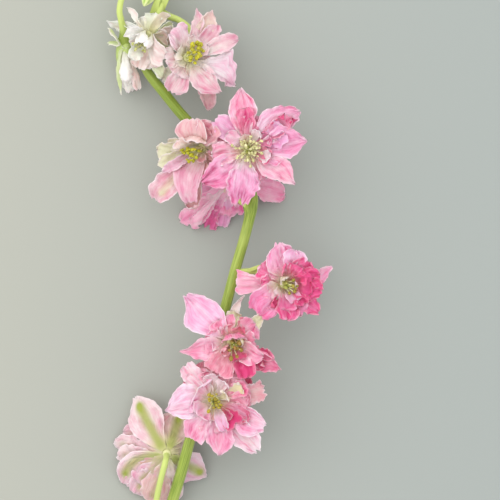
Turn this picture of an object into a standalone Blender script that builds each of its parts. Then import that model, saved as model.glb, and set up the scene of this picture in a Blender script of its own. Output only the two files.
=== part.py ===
"""A cut delphinium spike with half-double blooms, lying on a surface.

All sizes are in millimetres and become metres when a mesh is made. The origin is under the cut end
of the stem, on the surface. +Y runs along the stem towards its tip and +Z is up.
"""

import math
from typing import NamedTuple

import bpy
import numpy as np
from mathutils import Matrix, Vector

MM = 0.001

# The stem: x, y, z and radius at points along it, from the cut end to the tip.
STEM_RADIUS = 2.0
STEM_SIDES = 8
STEM_FLAT_Z = STEM_RADIUS * math.cos(math.pi / STEM_SIDES)
STEM_ROUTE = [
    (0.0, -4.0, STEM_FLAT_Z, STEM_RADIUS),
    (0.0, 4.0, STEM_FLAT_Z, STEM_RADIUS),
    (1.8, 11.0, 2.3, 2.0),
    (5.3, 23.4, 4.6, 2.0),
    (9.3, 36.0, 8.6, 2.0),
    (12.6, 46.8, 12.8, 2.0),
    (15.5, 57.6, 15.6, 1.95),
    (20.2, 73.8, 17.0, 1.95),
    (24.8, 91.8, 17.5, 1.9),
    (28.8, 107.3, 17.5, 1.9),
    (32.0, 119.5, 17.5, 1.9),
    (34.9, 129.6, 17.5, 1.9),
    (37.1, 138.0, 17.4, 2.1),
    (37.6, 146.0, 17.0, 2.0),
    (33.5, 154.5, 16.5, 1.9),
    (24.5, 163.1, 16.0, 1.85),
    (14.0, 173.2, 15.0, 1.85),
    (6.5, 182.2, 13.8, 1.85),
    (0.0, 190.6, 12.4, 1.7),
    (-2.4, 198.5, 11.0, 1.6),
    (-0.4, 206.0, 10.4, 1.6),
    (4.0, 213.5, 10.4, 1.6),
    (5.8, 222.0, 9.4, 1.4),
    (6.0, 231.0, 7.6, 1.2),
    (4.8, 238.0, 6.0, 1.0),
]
STEM_STEPS = 2

# A bloom: petals set in a small core, a stamen tuft on its face and the stalk's end behind it.
CORE_RADIUS = 2.6
CORE_END_RADIUS = 1.9
CORE_HALF = 1.2
CORE_SIDES = 8
SEAT_GAP = 0.3
ROOT_RADIUS = 1.6
ROOT_HALF = 0.9
TIP_HALF = 0.5
BLADE_THICKNESS = 0.6
KEPT_SHARE = 0.75
FLOOR_LIFT = 0.32
STALK_SIDES = 6
STALK_STEPS = 2

TUFT_RADIUS = 1.6
TUFT_HEIGHT = 0.9
TUFT_SIDES = 6
STAMEN_SIDES = 3
STAMEN_LENGTH = 6.0
FILAMENT_RADIUS = 0.3
ANTHER_RADIUS = 0.7
ANTHER_LENGTH = 1.8
GOLDEN_ANGLE = math.pi * (3 - math.sqrt(5))

COLOURS = {
    "stem_green": (0.30, 0.47, 0.06),
    "petal_pink": (0.86, 0.32, 0.50),
    "petal_pale": (0.90, 0.66, 0.68),
    "bud_green": (0.62, 0.74, 0.40),
    "anther_yellow": (0.62, 0.60, 0.12),
}


class Petal(NamedTuple):
    """One petal, by where its tip lies from the bloom's heart along X, Y and Z."""

    x: float
    y: float
    z: float
    width: float
    blunt: float = 0.5
    launch: float = 35.0
    land: float = -10.0
    cup: float = 0.25
    wave: float = 0.6


class Ring(NamedTuple):
    """A whorl of like petals round a bloom's axis, with small seeded differences."""

    count: int
    length: float
    width: float
    lift: float
    turn: float
    seed: int
    blunt: float = 0.55
    launch: float = 55.0
    land: float = 35.0
    cup: float = 0.35
    wave: float = 0.7


class Bloom(NamedTuple):
    """A bloom's heart, the way it faces, its stalk from the stem, and what it carries."""

    heart: tuple
    face: tuple
    stalk: list
    sepals: list
    rings: list
    stamens: int = 10
    spread: float = 32.0
    colour: str = "petal_pink"
    end_radius: float = 2.2


BLOOMS = {
    # Seen from behind, its face on the surface.
    "bloom_1": Bloom(
        (7.2, 52.6, 13.0),
        (0.05, 0.30, -0.95),
        [(3.8, 18.0, 3.4), (2.4, 27.0, 6.0), (3.4, 36.0, 10.2), (5.0, 43.5, 14.6), (6.6, 49.6, 16.8)],
        [
            Petal(-11.5, 19.8, -7.5, 13, 0.45, 12, 35, 0.12, 0.4),
            Petal(5.0, 15.0, -8.5, 12, 0.5, 12, 40, 0.12, 0.4),
            Petal(13.9, -9.4, -12.6, 12, 0.45, 20, 20, 0.03, 0.2),
            Petal(-16.6, -10.8, -12.6, 13.5, 0.65, 20, 20, 0.03, 0.2),
            Petal(-19.6, 3.8, -12.4, 11.5, 0.6, 20, 25, 0.0, 0.1),
            Petal(-6.6, -18.6, -12.6, 11.5, 0.6, 20, 20, 0.03, 0.2),
            Petal(2.2, -18.0, -12.6, 8, 0.6, 20, 20, 0.03, 0.2),
        ],
        [Ring(3, 13, 7, 40, 20, 11)],
        colour="petal_pale",
        stamens=7,
    ),
    # Face on, the widest of the lower blooms.
    "bloom_2": Bloom(
        (24.5, 72.0, 24.5),
        (-0.05, -0.05, 1.0),
        [(17.2, 62.5, 15.8), (21.0, 66.5, 18.5), (24.2, 70.6, 20.8)],
        [
            Petal(-18.0, -3.6, 2.0, 15, 0.6),
            Petal(-10.8, 13.2, 0.0, 11, 0.75),
            Petal(-3.6, 14.6, -2.6, 12, 0.7, 15, -15),
            Petal(11.0, 11.0, -3.0, 11, 0.7, 15, -15),
            Petal(-7.6, -14.6, 1.0, 13, 0.85),
            Petal(1.7, -19.8, 0.5, 12.5, 0.3),
            Petal(15.8, -18.4, 0.0, 13.5, 0.6),
            Petal(18.4, -9.0, 2.5, 12, 0.6),
            Petal(18.6, 3.4, -1.0, 10, 0.75),
        ],
        [Ring(5, 12.5, 8, 34, 16, 22), Ring(2, 9, 6, 48, 60, 23)],
        colour="petal_pale",
    ),
    # Turned a little down and right, over the top of the bloom below it.
    "bloom_3": Bloom(
        (30.6, 93.2, 27.5),
        (0.18, -0.25, 0.95),
        [(25.0, 92.0, 17.5), (28.6, 94.0, 20.5)],
        [
            Petal(-17.0, 17.0, 1.0, 12.5, 0.5),
            Petal(-18.8, -2.2, 0.0, 11, 0.1),
            Petal(10.6, 8.0, -4.6, 8, 0.6, 10, -20),
            Petal(17.6, -10.0, 0.0, 11.5, 0.3),
            Petal(4.6, 14.6, -5.0, 4.0, 0.6, 10, 0),
            Petal(-5.8, -11.5, 2.5, 10, 0.8),
            Petal(4.6, -13.4, 3.0, 11.5, 0.8),
        ],
        [Ring(5, 10, 7, 45, 30, 32)],
    ),
    # Out on the right of the stem.
    "bloom_4": Bloom(
        (49.3, 113.8, 23.5),
        (0.30, -0.12, 0.94),
        [(31.2, 117.6, 17.5), (39.5, 118.3, 18.2), (45.6, 115.6, 19.4)],
        [
            Petal(-2.3, 15.2, 4.0, 14, 0.7),
            Petal(-17.6, 0.8, 0.0, 10, 0.95),
            Petal(-8.6, -11.6, 2.5, 13, 0.75),
            Petal(1.2, -13.0, 3.0, 10, 0.7),
            Petal(11.4, -9.8, -1.5, 9, 0.6),
            Petal(13.0, -2.8, 1.5, 10, 0.7),
            Petal(17.0, 4.6, -5.0, 7.5, 0.3, 20, -20),
            Petal(8.6, 7.2, 2.5, 10.5, 0.8),
        ],
        [Ring(6, 10.5, 7, 42, 0, 42)],
    ),
    # Under the stem, face down, carrying the middle of the spike.
    "bloom_5": Bloom(
        (29.9, 150.8, 11.5),
        (0.0, -0.15, -1.0),
        [(37.0, 143.2, 17.0), (34.0, 143.4, 17.6), (30.6, 148.0, 17.0)],
        [
            Petal(-17.4, -15.0, -11.1, 9, 0.8, 15, 20, 0.03, 0.2),
            Petal(-7.4, -17.4, -11.1, 8.5, 0.75, 15, 20, 0.03, 0.2),
            Petal(-2.8, -16.8, -11.1, 6.5, 0.7, 15, 20, 0.03, 0.2),
            Petal(20.2, -5.0, -11.1, 10.5, 0.75, 15, 20, 0.03, 0.2),
            Petal(13.0, 13.0, -11.1, 11, 0.5, 15, 20, 0.03, 0.2),
            Petal(-6.0, 16.0, -11.1, 12, 0.5, 15, 20, 0.03, 0.2),
        ],
        [Ring(3, 11, 6.5, 38, 15, 52)],
        stamens=7,
    ),
    # The large bloom that faces straight up.
    "bloom_6": Bloom(
        (36.4, 162.0, 26.5),
        (0.03, -0.03, 1.0),
        [(36.2, 150.6, 17.0), (37.2, 156.5, 19.6), (36.6, 160.8, 22.4)],
        [
            Petal(-2.7, 22.0, 3.5, 13, 0.35),
            Petal(18.6, 14.8, 1.0, 12.5, 0.6),
            Petal(21.4, 3.2, 2.5, 13, 0.45),
            Petal(17.0, -12.6, 1.0, 11.5, 0.35),
            Petal(-3.2, -20.6, 2.0, 13.5, 0.55),
            Petal(-13.7, -13.0, 1.0, 13, 0.95),
            Petal(-12.4, 10.6, 2.5, 11.5, 0.7),
            Petal(-11.0, -0.6, -0.5, 12, 0.7),
        ],
        [Ring(7, 12.5, 7.5, 36, 25, 64)],
        stamens=14,
        spread=42.0,
    ),
    # Half hidden on the left of the large one, facing down and left.
    "bloom_7": Bloom(
        (20.0, 162.8, 21.5),
        (-0.50, -0.38, 0.78),
        [(30.0, 158.4, 16.4), (26.0, 166.0, 18.0), (22.2, 166.2, 18.6)],
        [
            Petal(-7.0, 7.6, 5.0, 12, 0.8, 45, 0),
            Petal(1.6, 10.4, 2.5, 12, 0.8, 45, 0),
            Petal(-16.6, 1.2, -4.0, 8.5, 0.6, 20, -15),
            Petal(-16.4, -7.0, -1.5, 7.5, 0.5, 25, -5),
            Petal(-16.6, -19.0, -5.0, 10, 0.6, 30, -15),
            Petal(-4.4, -22.0, 1.5, 11.5, 0.7, 40, -20),
            Petal(11.4, 4.0, -1.0, 9, 0.6, 0, 10),
        ],
        [Ring(4, 9, 6, 40, 50, 72)],
        spread=24.0,
        colour="petal_pale",
    ),
    # Near the tip, turned up and right.
    "bloom_8": Bloom(
        (14.4, 195.0, 20.5),
        (0.40, 0.20, 0.90),
        [
            (3.6, 212.6, 10.4),
            (7.6, 210.4, 11.2),
            (11.6, 208.8, 12.0),
            (15.2, 205.8, 12.8),
            (15.8, 201.0, 13.6),
            (13.8, 196.6, 14.6),
            (12.9, 194.4, 16.6),
        ],
        [
            Petal(3.4, 17.9, 0.0, 8.5, 0.3),
            Petal(9.2, 17.4, -3.0, 9, 0.4, 20, -10),
            Petal(19.0, 6.6, -1.0, 10, 0.35),
            Petal(17.6, -10.6, 0.5, 15.5, 0.75),
            Petal(12.0, -12.8, 3.5, 12, 0.5),
            Petal(8.2, -19.0, -4.0, 9.5, 0.45, 15, -20),
            Petal(-5.8, -12.6, 1.5, 10, 0.8),
            Petal(-8.6, -8.6, -4.5, 7.5, 0.6, 5, -20),
            Petal(-6.4, 9.2, 5.0, 12, 0.85),
        ],
        [Ring(4, 9, 6, 42, 80, 82)],
        colour="petal_pale",
    ),
    # The palest and least open, over the stem near its tip.
    "bloom_9": Bloom(
        (0.7, 203.6, 17.5),
        (-0.25, -0.70, 0.67),
        [(5.0, 217.0, 10.0), (5.0, 213.4, 13.2), (3.0, 208.4, 15.0)],
        [
            Petal(-14.6, 6.0, -12.6, 5, 0.5, -30, -30),
            Petal(-7.5, 9.0, -2.5, 4.5, 0.5, 20, -10),
            Petal(5.8, 7.4, 2.5, 7, 0.6, 40, 20),
            Petal(-5.4, -13.4, 2.0, 8, 0.6, 50, -5),
            Petal(0.8, -13.6, 4.0, 8.5, 0.7, 50, 0),
            Petal(6.2, -9.8, 2.0, 9, 0.7, 45, 0),
            Petal(8.4, -1.6, 1.0, 8.5, 0.7, 40, 0),
            Petal(0.8, 8.4, 3.0, 7, 0.7, 55, 20),
        ],
        [Ring(3, 9, 5.5, 50, 30, 92)],
        stamens=7,
        spread=22.0,
        colour="petal_pale",
    ),
    # A bud that has begun to open, hanging from an arched stalk.
    "opening_bud": Bloom(
        (-7.9, 200.8, 9.8),
        (0.10, -0.93, -0.34),
        [
            (5.6, 223.4, 9.0),
            (1.6, 224.4, 12.0),
            (-4.4, 222.8, 15.4),
            (-8.4, 218.0, 17.0),
            (-9.8, 212.6, 17.2),
            (-9.3, 208.8, 15.8),
            (-8.4, 205.0, 12.8),
        ],
        [
            Petal(-5.4, 2.6, 3.0, 7, 0.8, -10, -60),
            Petal(2.6, 1.6, 4.4, 5, 0.8, -10, -60),
        ],
        [Ring(4, 17.6, 7.0, 84, 45, 102, 0.45, 55, 90, 0.3, 0.2)],
        stamens=0,
        colour="bud_green",
        end_radius=1.7,
    ),
}

# Closed buds by the tip: the base's place, the way each points, its length and its radius.
BUDS = {
    "bud_1": ((1.2, 219.2, 14.2), (-0.34, -0.84, 0.42), 6.6, 2.5),
    "bud_2": ((11.0, 228.4, 8.2), (0.80, 0.50, 0.10), 6.4, 2.0),
    "bud_3": ((9.6, 238.4, 6.4), (0.72, 0.68, -0.14), 5.6, 1.8),
    "bud_4": ((0.0, 241.4, 6.0), (-0.62, 0.76, -0.18), 5.2, 1.7),
    "bud_5": ((4.9, 242.0, 5.2), (0.10, 0.98, -0.16), 4.8, 1.5),
}
BUD_SIDES = 7
BRACT_THICKNESS = 1.0
BUD_STALK_RADIUS = 0.8
BUD_STALKS = {
    "bud_1": [(5.0, 218.6, 9.8), (3.0, 220.4, 12.4)],
    "bud_2": [(6.0, 224.0, 9.0), (8.4, 226.2, 8.8)],
    "bud_3": [(5.8, 232.0, 7.4), (7.8, 235.6, 7.0)],
    "bud_4": [(5.4, 234.4, 6.8), (2.4, 238.6, 6.5)],
    "bud_5": [(4.8, 238.0, 6.0)],
}

# Narrow leaf-like bracts, one below each stalk: base, tip and width.
BRACTS = [
    ((3.4, 18.0, 4.6), (-1.6, 22.6, 8.0), 1.8),
    ((16.6, 61.6, 17.0), (12.6, 67.4, 19.6), 1.8),
    ((36.2, 118.4, 18.6), (42.2, 120.8, 20.8), 1.9),
    ((37.0, 140.6, 17.8), (33.4, 143.8, 19.8), 2.2),
    ((6.0, 216.0, 11.0), (12.0, 218.6, 13.2), 2.0),
    ((5.7, 224.0, 9.4), (-0.2, 228.2, 10.6), 1.8),
    ((5.8, 231.6, 8.0), (11.4, 233.4, 9.4), 1.6),
]


def unit(vector):
    """The same direction, one long."""
    vector = np.asarray(vector, float)
    return vector / np.linalg.norm(vector)


def scatter(seed, index):
    """A repeatable value from -1 to 1 for each seed and index."""
    return 2 * math.modf(abs(math.sin(seed * 12.9898 + index * 78.233)) * 43758.5453)[0] - 1


def smooth_route(points, steps):
    """Points on a smooth curve through the given ones, with steps spans between each pair."""
    points = np.asarray(points, float)
    ends = np.vstack([2 * points[0] - points[1], points, 2 * points[-1] - points[-2]])
    found = []
    for before, start, end, after in zip(ends, ends[1:], ends[2:], ends[3:]):
        for t in np.arange(steps) / steps:
            found.append(
                start
                + 0.5 * t * (end - before)
                + t * t * (before - 2.5 * start + 2 * end - 0.5 * after)
                + 0.5 * t**3 * (3 * (start - end) + after - before)
            )
    found.append(points[-1])
    return np.array(found)


def mesh_object(name, points, faces, colour):
    """A named object with its own plain material, from points in millimetres."""
    mesh = bpy.data.meshes.new(name)
    mesh.from_pydata((np.asarray(points) * MM).tolist(), [], [tuple(map(int, f)) for f in faces])
    mesh.validate()
    mesh.shade_smooth()
    obj = bpy.data.objects.new(name, mesh)
    bpy.context.scene.collection.objects.link(obj)
    obj.data.materials.append(finish(name, colour))
    return obj


def finish(name, colour):
    """A satin plant-tissue material in one of the object's colours."""
    material = bpy.data.materials.new(name)
    material.use_nodes = True
    shader = material.node_tree.nodes["Principled BSDF"]
    shader.inputs["Base Color"].default_value = (*COLOURS[colour], 1.0)
    shader.inputs["Roughness"].default_value = 0.6
    shader.inputs["Metallic"].default_value = 0.0
    return material


def lofted(rings):
    """Points and triangles of a closed skin over rings of equally many points."""
    rings = np.asarray(rings, float)
    count, sides = rings.shape[:2]
    points = rings.reshape(-1, 3)
    faces = []
    for i in range(count - 1):
        for j in range(sides):
            a, b = i * sides + j, i * sides + (j + 1) % sides
            faces += [(a, b, b + sides), (a, b + sides, a + sides)]
    last = (count - 1) * sides
    faces += [(0, j + 1, j) for j in range(1, sides - 1)]
    faces += [(last, last + j, last + j + 1) for j in range(1, sides - 1)]
    return points, faces


def tube_rings(route, radii, sides, up=(0, 0, 1)):
    """Rings square to a route, turned as little as possible, the first with a flat side down."""
    tangents = np.gradient(route, axis=0)
    tangents /= np.linalg.norm(tangents, axis=1)[:, None]
    lift = unit(up)
    rings = []
    for centre, tangent, radius in zip(route, tangents, radii):
        lift = unit(lift - tangent * (lift @ tangent))
        side = np.cross(tangent, lift)
        angles = (np.arange(sides) + 0.5) * 2 * math.pi / sides
        rings.append(
            centre + radius * (np.outer(np.sin(angles), side) + np.outer(np.cos(angles), lift))
        )
    return np.array(rings)


def stalk_mesh(points, start_radius, middle_radius, end_radius, arrive):
    """A stalk that swells at both ends. arrive is the way its flat end faces."""
    route = smooth_route(points, STALK_STEPS)
    t = np.linspace(0, 1, len(route))
    radii = middle_radius + (start_radius - middle_radius) * (1 - t) ** 6
    radii += (end_radius - middle_radius) * t**8
    rings = tube_rings(route, radii, STALK_SIDES, up=(0.1, 0.2, 1))
    rings[-1] = disc_ring(route[-1], arrive, end_radius, rings[-1])
    return lofted(rings)


def disc_ring(centre, normal, radius, like):
    """A flat ring square to normal, its corners in step with those of another ring."""
    away = like - centre
    away -= np.outer(away @ normal, normal)
    return centre + radius * away / np.linalg.norm(away, axis=1)[:, None]


def stalk_end(bloom):
    """Where a bloom's stalk ends, a seat's gap behind its core."""
    return np.array(bloom.heart) - unit(bloom.face) * (CORE_HALF + SEAT_GAP)


def bract_mesh(base, tip, width):
    """A narrow folded blade from base to tip, four-sided and pointed, its root inside the stem."""
    base, tip = np.array(base), np.array(tip)
    along = unit(tip - base)
    side = unit(np.cross(along, (0, 0, 1)))
    normal = np.cross(side, along)
    rings = []
    for t, share in ((-0.3, 0.6), (0.4, 1.0), (1.0, 0.2)):
        centre = base + (tip - base) * t + normal * 1.2 * t * (1 - t)
        half = width / 2 * share
        thick = BRACT_THICKNESS / 2 * share
        rings.append(
            [
                centre + side * half + normal * 0.3 * half,
                centre - normal * thick,
                centre - side * half + normal * 0.3 * half,
                centre + normal * thick,
            ]
        )
    return lofted(rings)


def ring_frame(face):
    """Two directions square to a bloom's axis: the first as near +X as can be."""
    axis = unit(face)
    first = np.array((1.0, 0.0, 0.0)) - axis * axis[0]
    first = unit(first)
    return axis, first, np.cross(axis, first)


def ring_petals(bloom, ring):
    """The petals of a whorl, each with the way it leans out."""
    axis, first, second = ring_frame(bloom.face)
    found = []
    for k in range(ring.count):
        turn = math.radians(ring.turn + 360 * k / ring.count + 10 * scatter(ring.seed, k))
        lift = math.radians(ring.lift + 6 * scatter(ring.seed, k + 20))
        length = ring.length * (1 + 0.12 * scatter(ring.seed, k + 40))
        out = first * math.cos(turn) + second * math.sin(turn)
        tip = length * (out * math.cos(lift) + axis * math.sin(lift))
        petal = Petal(*tip, ring.width, ring.blunt, ring.launch, ring.land, ring.cup, ring.wave)
        found.append((petal, out))
    return found


def petal_sheet(bloom, petal, out, across, along):
    """Points on the middle of a petal, as rows from its root to its tip.

    Its spine is a cubic curve that leaves the heart at the launch angle and ends at the land angle,
    both above the bloom's own plane. Its half width is v^a * (1 - v)^b, with a and b set by how
    blunt it is. Its edges are raised by the cup and by a wave that grows towards them.
    """
    axis = unit(bloom.face)
    heart = np.array(bloom.heart)
    tip = np.array((petal.x, petal.y, petal.z))
    if out is None:
        out = unit(tip - axis * (tip @ axis))
    side = np.cross(axis, out)
    root = out * ROOT_RADIUS
    reach = np.linalg.norm(tip - root)
    launch, land = math.radians(petal.launch), math.radians(petal.land)
    leave = root + reach * 0.38 * (out * math.cos(launch) + axis * math.sin(launch))
    arrive = tip - reach * 0.38 * (out * math.cos(land) + axis * math.sin(land))
    v = np.linspace(0, 1, along + 1)[:, None]
    spine = (
        (1 - v) ** 3 * root + 3 * v * (1 - v) ** 2 * leave + 3 * v**2 * (1 - v) * arrive + v**3 * tip
    )
    tangent = np.gradient(spine, axis=0)
    tangent /= np.linalg.norm(tangent, axis=1)[:, None]
    normal = np.cross(tangent, side)
    rise, fall = 0.9 + 0.5 * petal.blunt, 1.0 - 0.8 * petal.blunt
    peak = rise / (rise + fall)
    shape = v**rise * (1 - v) ** fall / (peak**rise * (1 - peak) ** fall)
    end = TIP_HALF + petal.width * max(0.0, petal.blunt - 0.7)
    half = np.sqrt((petal.width / 2 * shape) ** 2 + (ROOT_HALF * (1 - v)) ** 2 + (end * v**3) ** 2)
    u = np.linspace(-1, 1, across + 1)[None, :]
    phase = petal.x + 2 * petal.y
    wave = petal.wave * np.abs(u) ** 1.5 * v * np.sin(9 * v + phase + 2 * np.sign(u))
    lifted = petal.cup * half * u**2 + wave
    sheet = spine[:, None, :] + (half * u)[:, :, None] * side + lifted[:, :, None] * normal[:, None, :]
    return heart + sheet


def above_floor(sheet):
    """A petal with its points kept at or above the height where it lies on the surface."""
    sheet[..., 2] = np.maximum(sheet[..., 2], FLOOR_LIFT)
    return sheet


def blade_mesh(sheet):
    """A closed blade of even thickness, with both faces split into triangles alike."""
    rows, columns = sheet.shape[:2]
    normals = np.cross(np.gradient(sheet, axis=0), np.gradient(sheet, axis=1))
    normals /= np.linalg.norm(normals, axis=2)[:, :, None]
    half = BLADE_THICKNESS / 2
    upper, lower = sheet + normals * half, sheet - normals * half
    points = np.concatenate([upper.reshape(-1, 3), lower.reshape(-1, 3)])
    size = rows * columns
    faces = []
    for i in range(rows - 1):
        for j in range(columns - 1):
            a, b, c, d = (
                i * columns + j,
                i * columns + j + 1,
                (i + 1) * columns + j + 1,
                (i + 1) * columns + j,
            )
            faces += [(a, d, c), (a, c, b), (a + size, c + size, d + size), (a + size, b + size, c + size)]
    edge = (
        [(0, j) for j in range(columns - 1)]
        + [(i, columns - 1) for i in range(rows - 1)]
        + [(rows - 1, j) for j in range(columns - 1, 0, -1)]
        + [(i, 0) for i in range(rows - 1, 0, -1)]
    )
    rim = [i * columns + j for i, j in edge]
    for a, b in zip(rim, rim[1:] + rim[:1]):
        faces += [(a, b, b + size), (a, b + size, a + size)]
    return points, faces


def puck_mesh(centre, axis, profile, sides):
    """A turned piece: rings of the profile's height and radius along an axis."""
    axis, first, second = ring_frame(axis)
    angles = np.arange(sides) * 2 * math.pi / sides
    circle = np.outer(np.cos(angles), first) + np.outer(np.sin(angles), second)
    return lofted([np.array(centre) + axis * height + radius * circle for height, radius in profile])


def set_origin(obj, place):
    """Moves an object's origin to a place in millimetres, leaving its surface where it is."""
    spot = Vector(place) * MM
    obj.data.transform(Matrix.Translation(-spot))
    obj.location = spot


def joined(name, meshes, colour):
    """One object from overlapping closed meshes, by a Boolean union of them all."""
    body = mesh_object(name, *meshes[0], colour)
    helpers = bpy.data.collections.new(name + "_pieces")
    bpy.context.scene.collection.children.link(helpers)
    for k, (points, faces) in enumerate(meshes[1:]):
        piece = mesh_object(f"{name}_piece_{k}", points, faces, colour)
        bpy.context.scene.collection.objects.unlink(piece)
        helpers.objects.link(piece)
    union = body.modifiers.new("union", "BOOLEAN")
    union.operation = "UNION"
    union.operand_type = "COLLECTION"
    union.collection = helpers
    union.solver = "MANIFOLD"
    thin = body.modifiers.new("thin", "DECIMATE")
    thin.ratio = KEPT_SHARE
    bpy.context.view_layer.update()
    graph = bpy.context.evaluated_depsgraph_get()
    whole = bpy.data.meshes.new_from_object(body.evaluated_get(graph))
    body.modifiers.clear()
    body.data = whole
    for piece in list(helpers.objects):
        bpy.data.objects.remove(piece)
    bpy.data.collections.remove(helpers)
    body.data.materials.clear()
    body.data.materials.append(bpy.data.materials[name])
    return body


def make_petals(name, bloom):
    """A bloom's core with all its petals rooted in it."""
    core = [(-CORE_HALF, CORE_END_RADIUS), (0, CORE_RADIUS), (CORE_HALF, CORE_END_RADIUS)]
    meshes = [puck_mesh(bloom.heart, bloom.face, core, CORE_SIDES)]
    for petal in bloom.sepals:
        meshes.append(blade_mesh(above_floor(petal_sheet(bloom, petal, None, 4, 4))))
    for ring in bloom.rings:
        across, along = (4, 4) if ring.length > 15 else (2, 3)
        for petal, out in ring_petals(bloom, ring):
            meshes.append(blade_mesh(above_floor(petal_sheet(bloom, petal, out, across, along))))
    petals = joined(name + "_petals", meshes, bloom.colour)
    set_origin(petals, bloom.heart)
    return petals


def stamen_meshes(base, axis, bloom):
    """Stamens that fan out round the axis, each a thread that swells into its anther."""
    _, first, second = ring_frame(axis)
    meshes = []
    for k in range(bloom.stamens):
        share = math.sqrt((k + 0.5) / bloom.stamens)
        turn = k * GOLDEN_ANGLE
        lean = math.radians(bloom.spread * share)
        out = first * math.cos(turn) + second * math.sin(turn)
        away = out * math.sin(lean) + axis * math.cos(lean)
        foot = base + out * 0.75 * TUFT_RADIUS * share
        length = STAMEN_LENGTH * (1 + 0.12 * scatter(bloom.stamens, k))
        profile = [
            (0, FILAMENT_RADIUS),
            (length - ANTHER_LENGTH, FILAMENT_RADIUS),
            (length - ANTHER_LENGTH * 0.5, ANTHER_RADIUS),
            (length, FILAMENT_RADIUS),
        ]
        meshes.append(puck_mesh(foot, away, profile, STAMEN_SIDES))
    return meshes


def make_stamens(name, bloom):
    """The tuft of stamens, seated on the face of the bloom's core."""
    axis = unit(bloom.face)
    seat = np.array(bloom.heart) + axis * (CORE_HALF + SEAT_GAP)
    profile = [(0, TUFT_RADIUS), (TUFT_HEIGHT, TUFT_RADIUS * 0.75)]
    meshes = [puck_mesh(seat, axis, profile, TUFT_SIDES)]
    meshes += stamen_meshes(seat + axis * TUFT_HEIGHT * 0.5, axis, bloom)
    stamens = joined(name + "_stamens", meshes, "anther_yellow")
    set_origin(stamens, bloom.heart)
    return stamens


def make_stem():
    """The stem with every stalk and bract that grows from it."""
    stations = np.array(STEM_ROUTE)
    route = np.vstack([stations[0], smooth_route(stations[1:], STEM_STEPS)])
    rings = tube_rings(route[:, :3], route[:, 3], STEM_SIDES)
    flat = tube_rings(
        np.array([(0, -4, STEM_FLAT_Z), (0, 0, STEM_FLAT_Z), (0, 4, STEM_FLAT_Z)]),
        [STEM_RADIUS] * 3,
        STEM_SIDES,
    )
    rings[0], rings[1] = flat[0], flat[2]
    meshes = [lofted(rings)]
    for bloom in BLOOMS.values():
        end = stalk_end(bloom)
        points = [*bloom.stalk, tuple(end)]
        meshes.append(stalk_mesh(points, 1.7, 1.15, bloom.end_radius, unit(bloom.face)))
    for name, (base, way, _, _) in BUDS.items():
        end = np.array(base) - unit(way) * SEAT_GAP
        points = [*BUD_STALKS[name], tuple(end)]
        meshes.append(stalk_mesh(points, 1.0, BUD_STALK_RADIUS, BUD_STALK_RADIUS + 0.2, unit(way)))
    meshes += [bract_mesh(*bract) for bract in BRACTS]
    return joined("flower_stem", meshes, "stem_green")


def make_bud(name, base, way, length, radius):
    """A closed bud, widest near its middle and bluntly pointed."""
    shares = [(0.0, 0.42), (0.15, 0.78), (0.45, 1.0), (0.78, 0.68), (1.0, 0.16)]
    profile = [(length * t, radius * share) for t, share in shares]
    points, faces = puck_mesh(base, way, profile, BUD_SIDES)
    bud = mesh_object(name, points, faces, "bud_green")
    set_origin(bud, base)
    return bud


def clear_scene():
    """Removes whatever the scene holds."""
    for obj in list(bpy.data.objects):
        bpy.data.objects.remove(obj)


def main():
    clear_scene()
    stem = make_stem()
    grown = []
    for name, bloom in BLOOMS.items():
        grown.append(make_petals(name, bloom))
        if bloom.stamens:
            grown.append(make_stamens(name, bloom))
    for name, bud in BUDS.items():
        grown.append(make_bud(name, *bud))
    for piece in grown:
        piece.parent = stem


main()
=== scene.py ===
"""The looks of a cut delphinium spike with pink half-double blooms, lying on a pale floor.

Sizes are in millimetres and become metres when a mesh is made. +Y runs along the stem to its tip,
+Z is up, and the camera looks straight down.
"""

import math
from typing import NamedTuple

import bpy
import numpy as np
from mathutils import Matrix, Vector


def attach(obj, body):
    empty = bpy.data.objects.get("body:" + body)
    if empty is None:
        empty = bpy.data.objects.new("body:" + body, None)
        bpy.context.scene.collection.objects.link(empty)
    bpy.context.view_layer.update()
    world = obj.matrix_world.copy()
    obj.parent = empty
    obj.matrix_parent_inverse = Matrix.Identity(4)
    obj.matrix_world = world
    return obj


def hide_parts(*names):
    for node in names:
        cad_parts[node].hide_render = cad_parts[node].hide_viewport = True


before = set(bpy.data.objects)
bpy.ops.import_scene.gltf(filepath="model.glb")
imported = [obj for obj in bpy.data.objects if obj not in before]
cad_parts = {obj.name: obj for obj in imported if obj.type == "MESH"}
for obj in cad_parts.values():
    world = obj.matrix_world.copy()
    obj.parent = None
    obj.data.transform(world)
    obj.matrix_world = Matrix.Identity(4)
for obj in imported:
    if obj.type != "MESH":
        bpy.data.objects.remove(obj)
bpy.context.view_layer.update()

MM = 0.001
BODY = "root"

# The photograph's view: the middle and the side of the square that it frames, and its height.
VIEW_MIDDLE = (37.1, 126.0)
VIEW_SIDE = 180.0
VIEW_LEVEL = 15.0
CAMERA_HEIGHT = 2000.0
SENSOR = 36.0

# The blade of a petal.
ROOT_RADIUS = 1.6
ROOT_HALF = 0.9
TIP_HALF = 0.45
BLADE_THICKNESS = 0.24
CELL = 0.38
FLOOR_LIFT = 0.2
EDGE_CROWDING = 1.25
HANDLE = 0.38
RIM_WIDTH = 0.56
RAGGED_PLACES = 11
RAGGED_FACTOR = 53
SEED_STEP = 2.37

# The ripples on a petal: what each kind multiplies the seed by, and its length.
TEETH, FRILL, CREASE = (1, 1.9), (29, 2.7), (97, 3.1)
DENT, CRUMPLE, NIBBLE = (83, 2.2), (61, 6.5), (17, 1.7)
BLOTCH, STREAK, BREAK = (31, 5.0), (43, 2.0), (71, 3.0)

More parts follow.
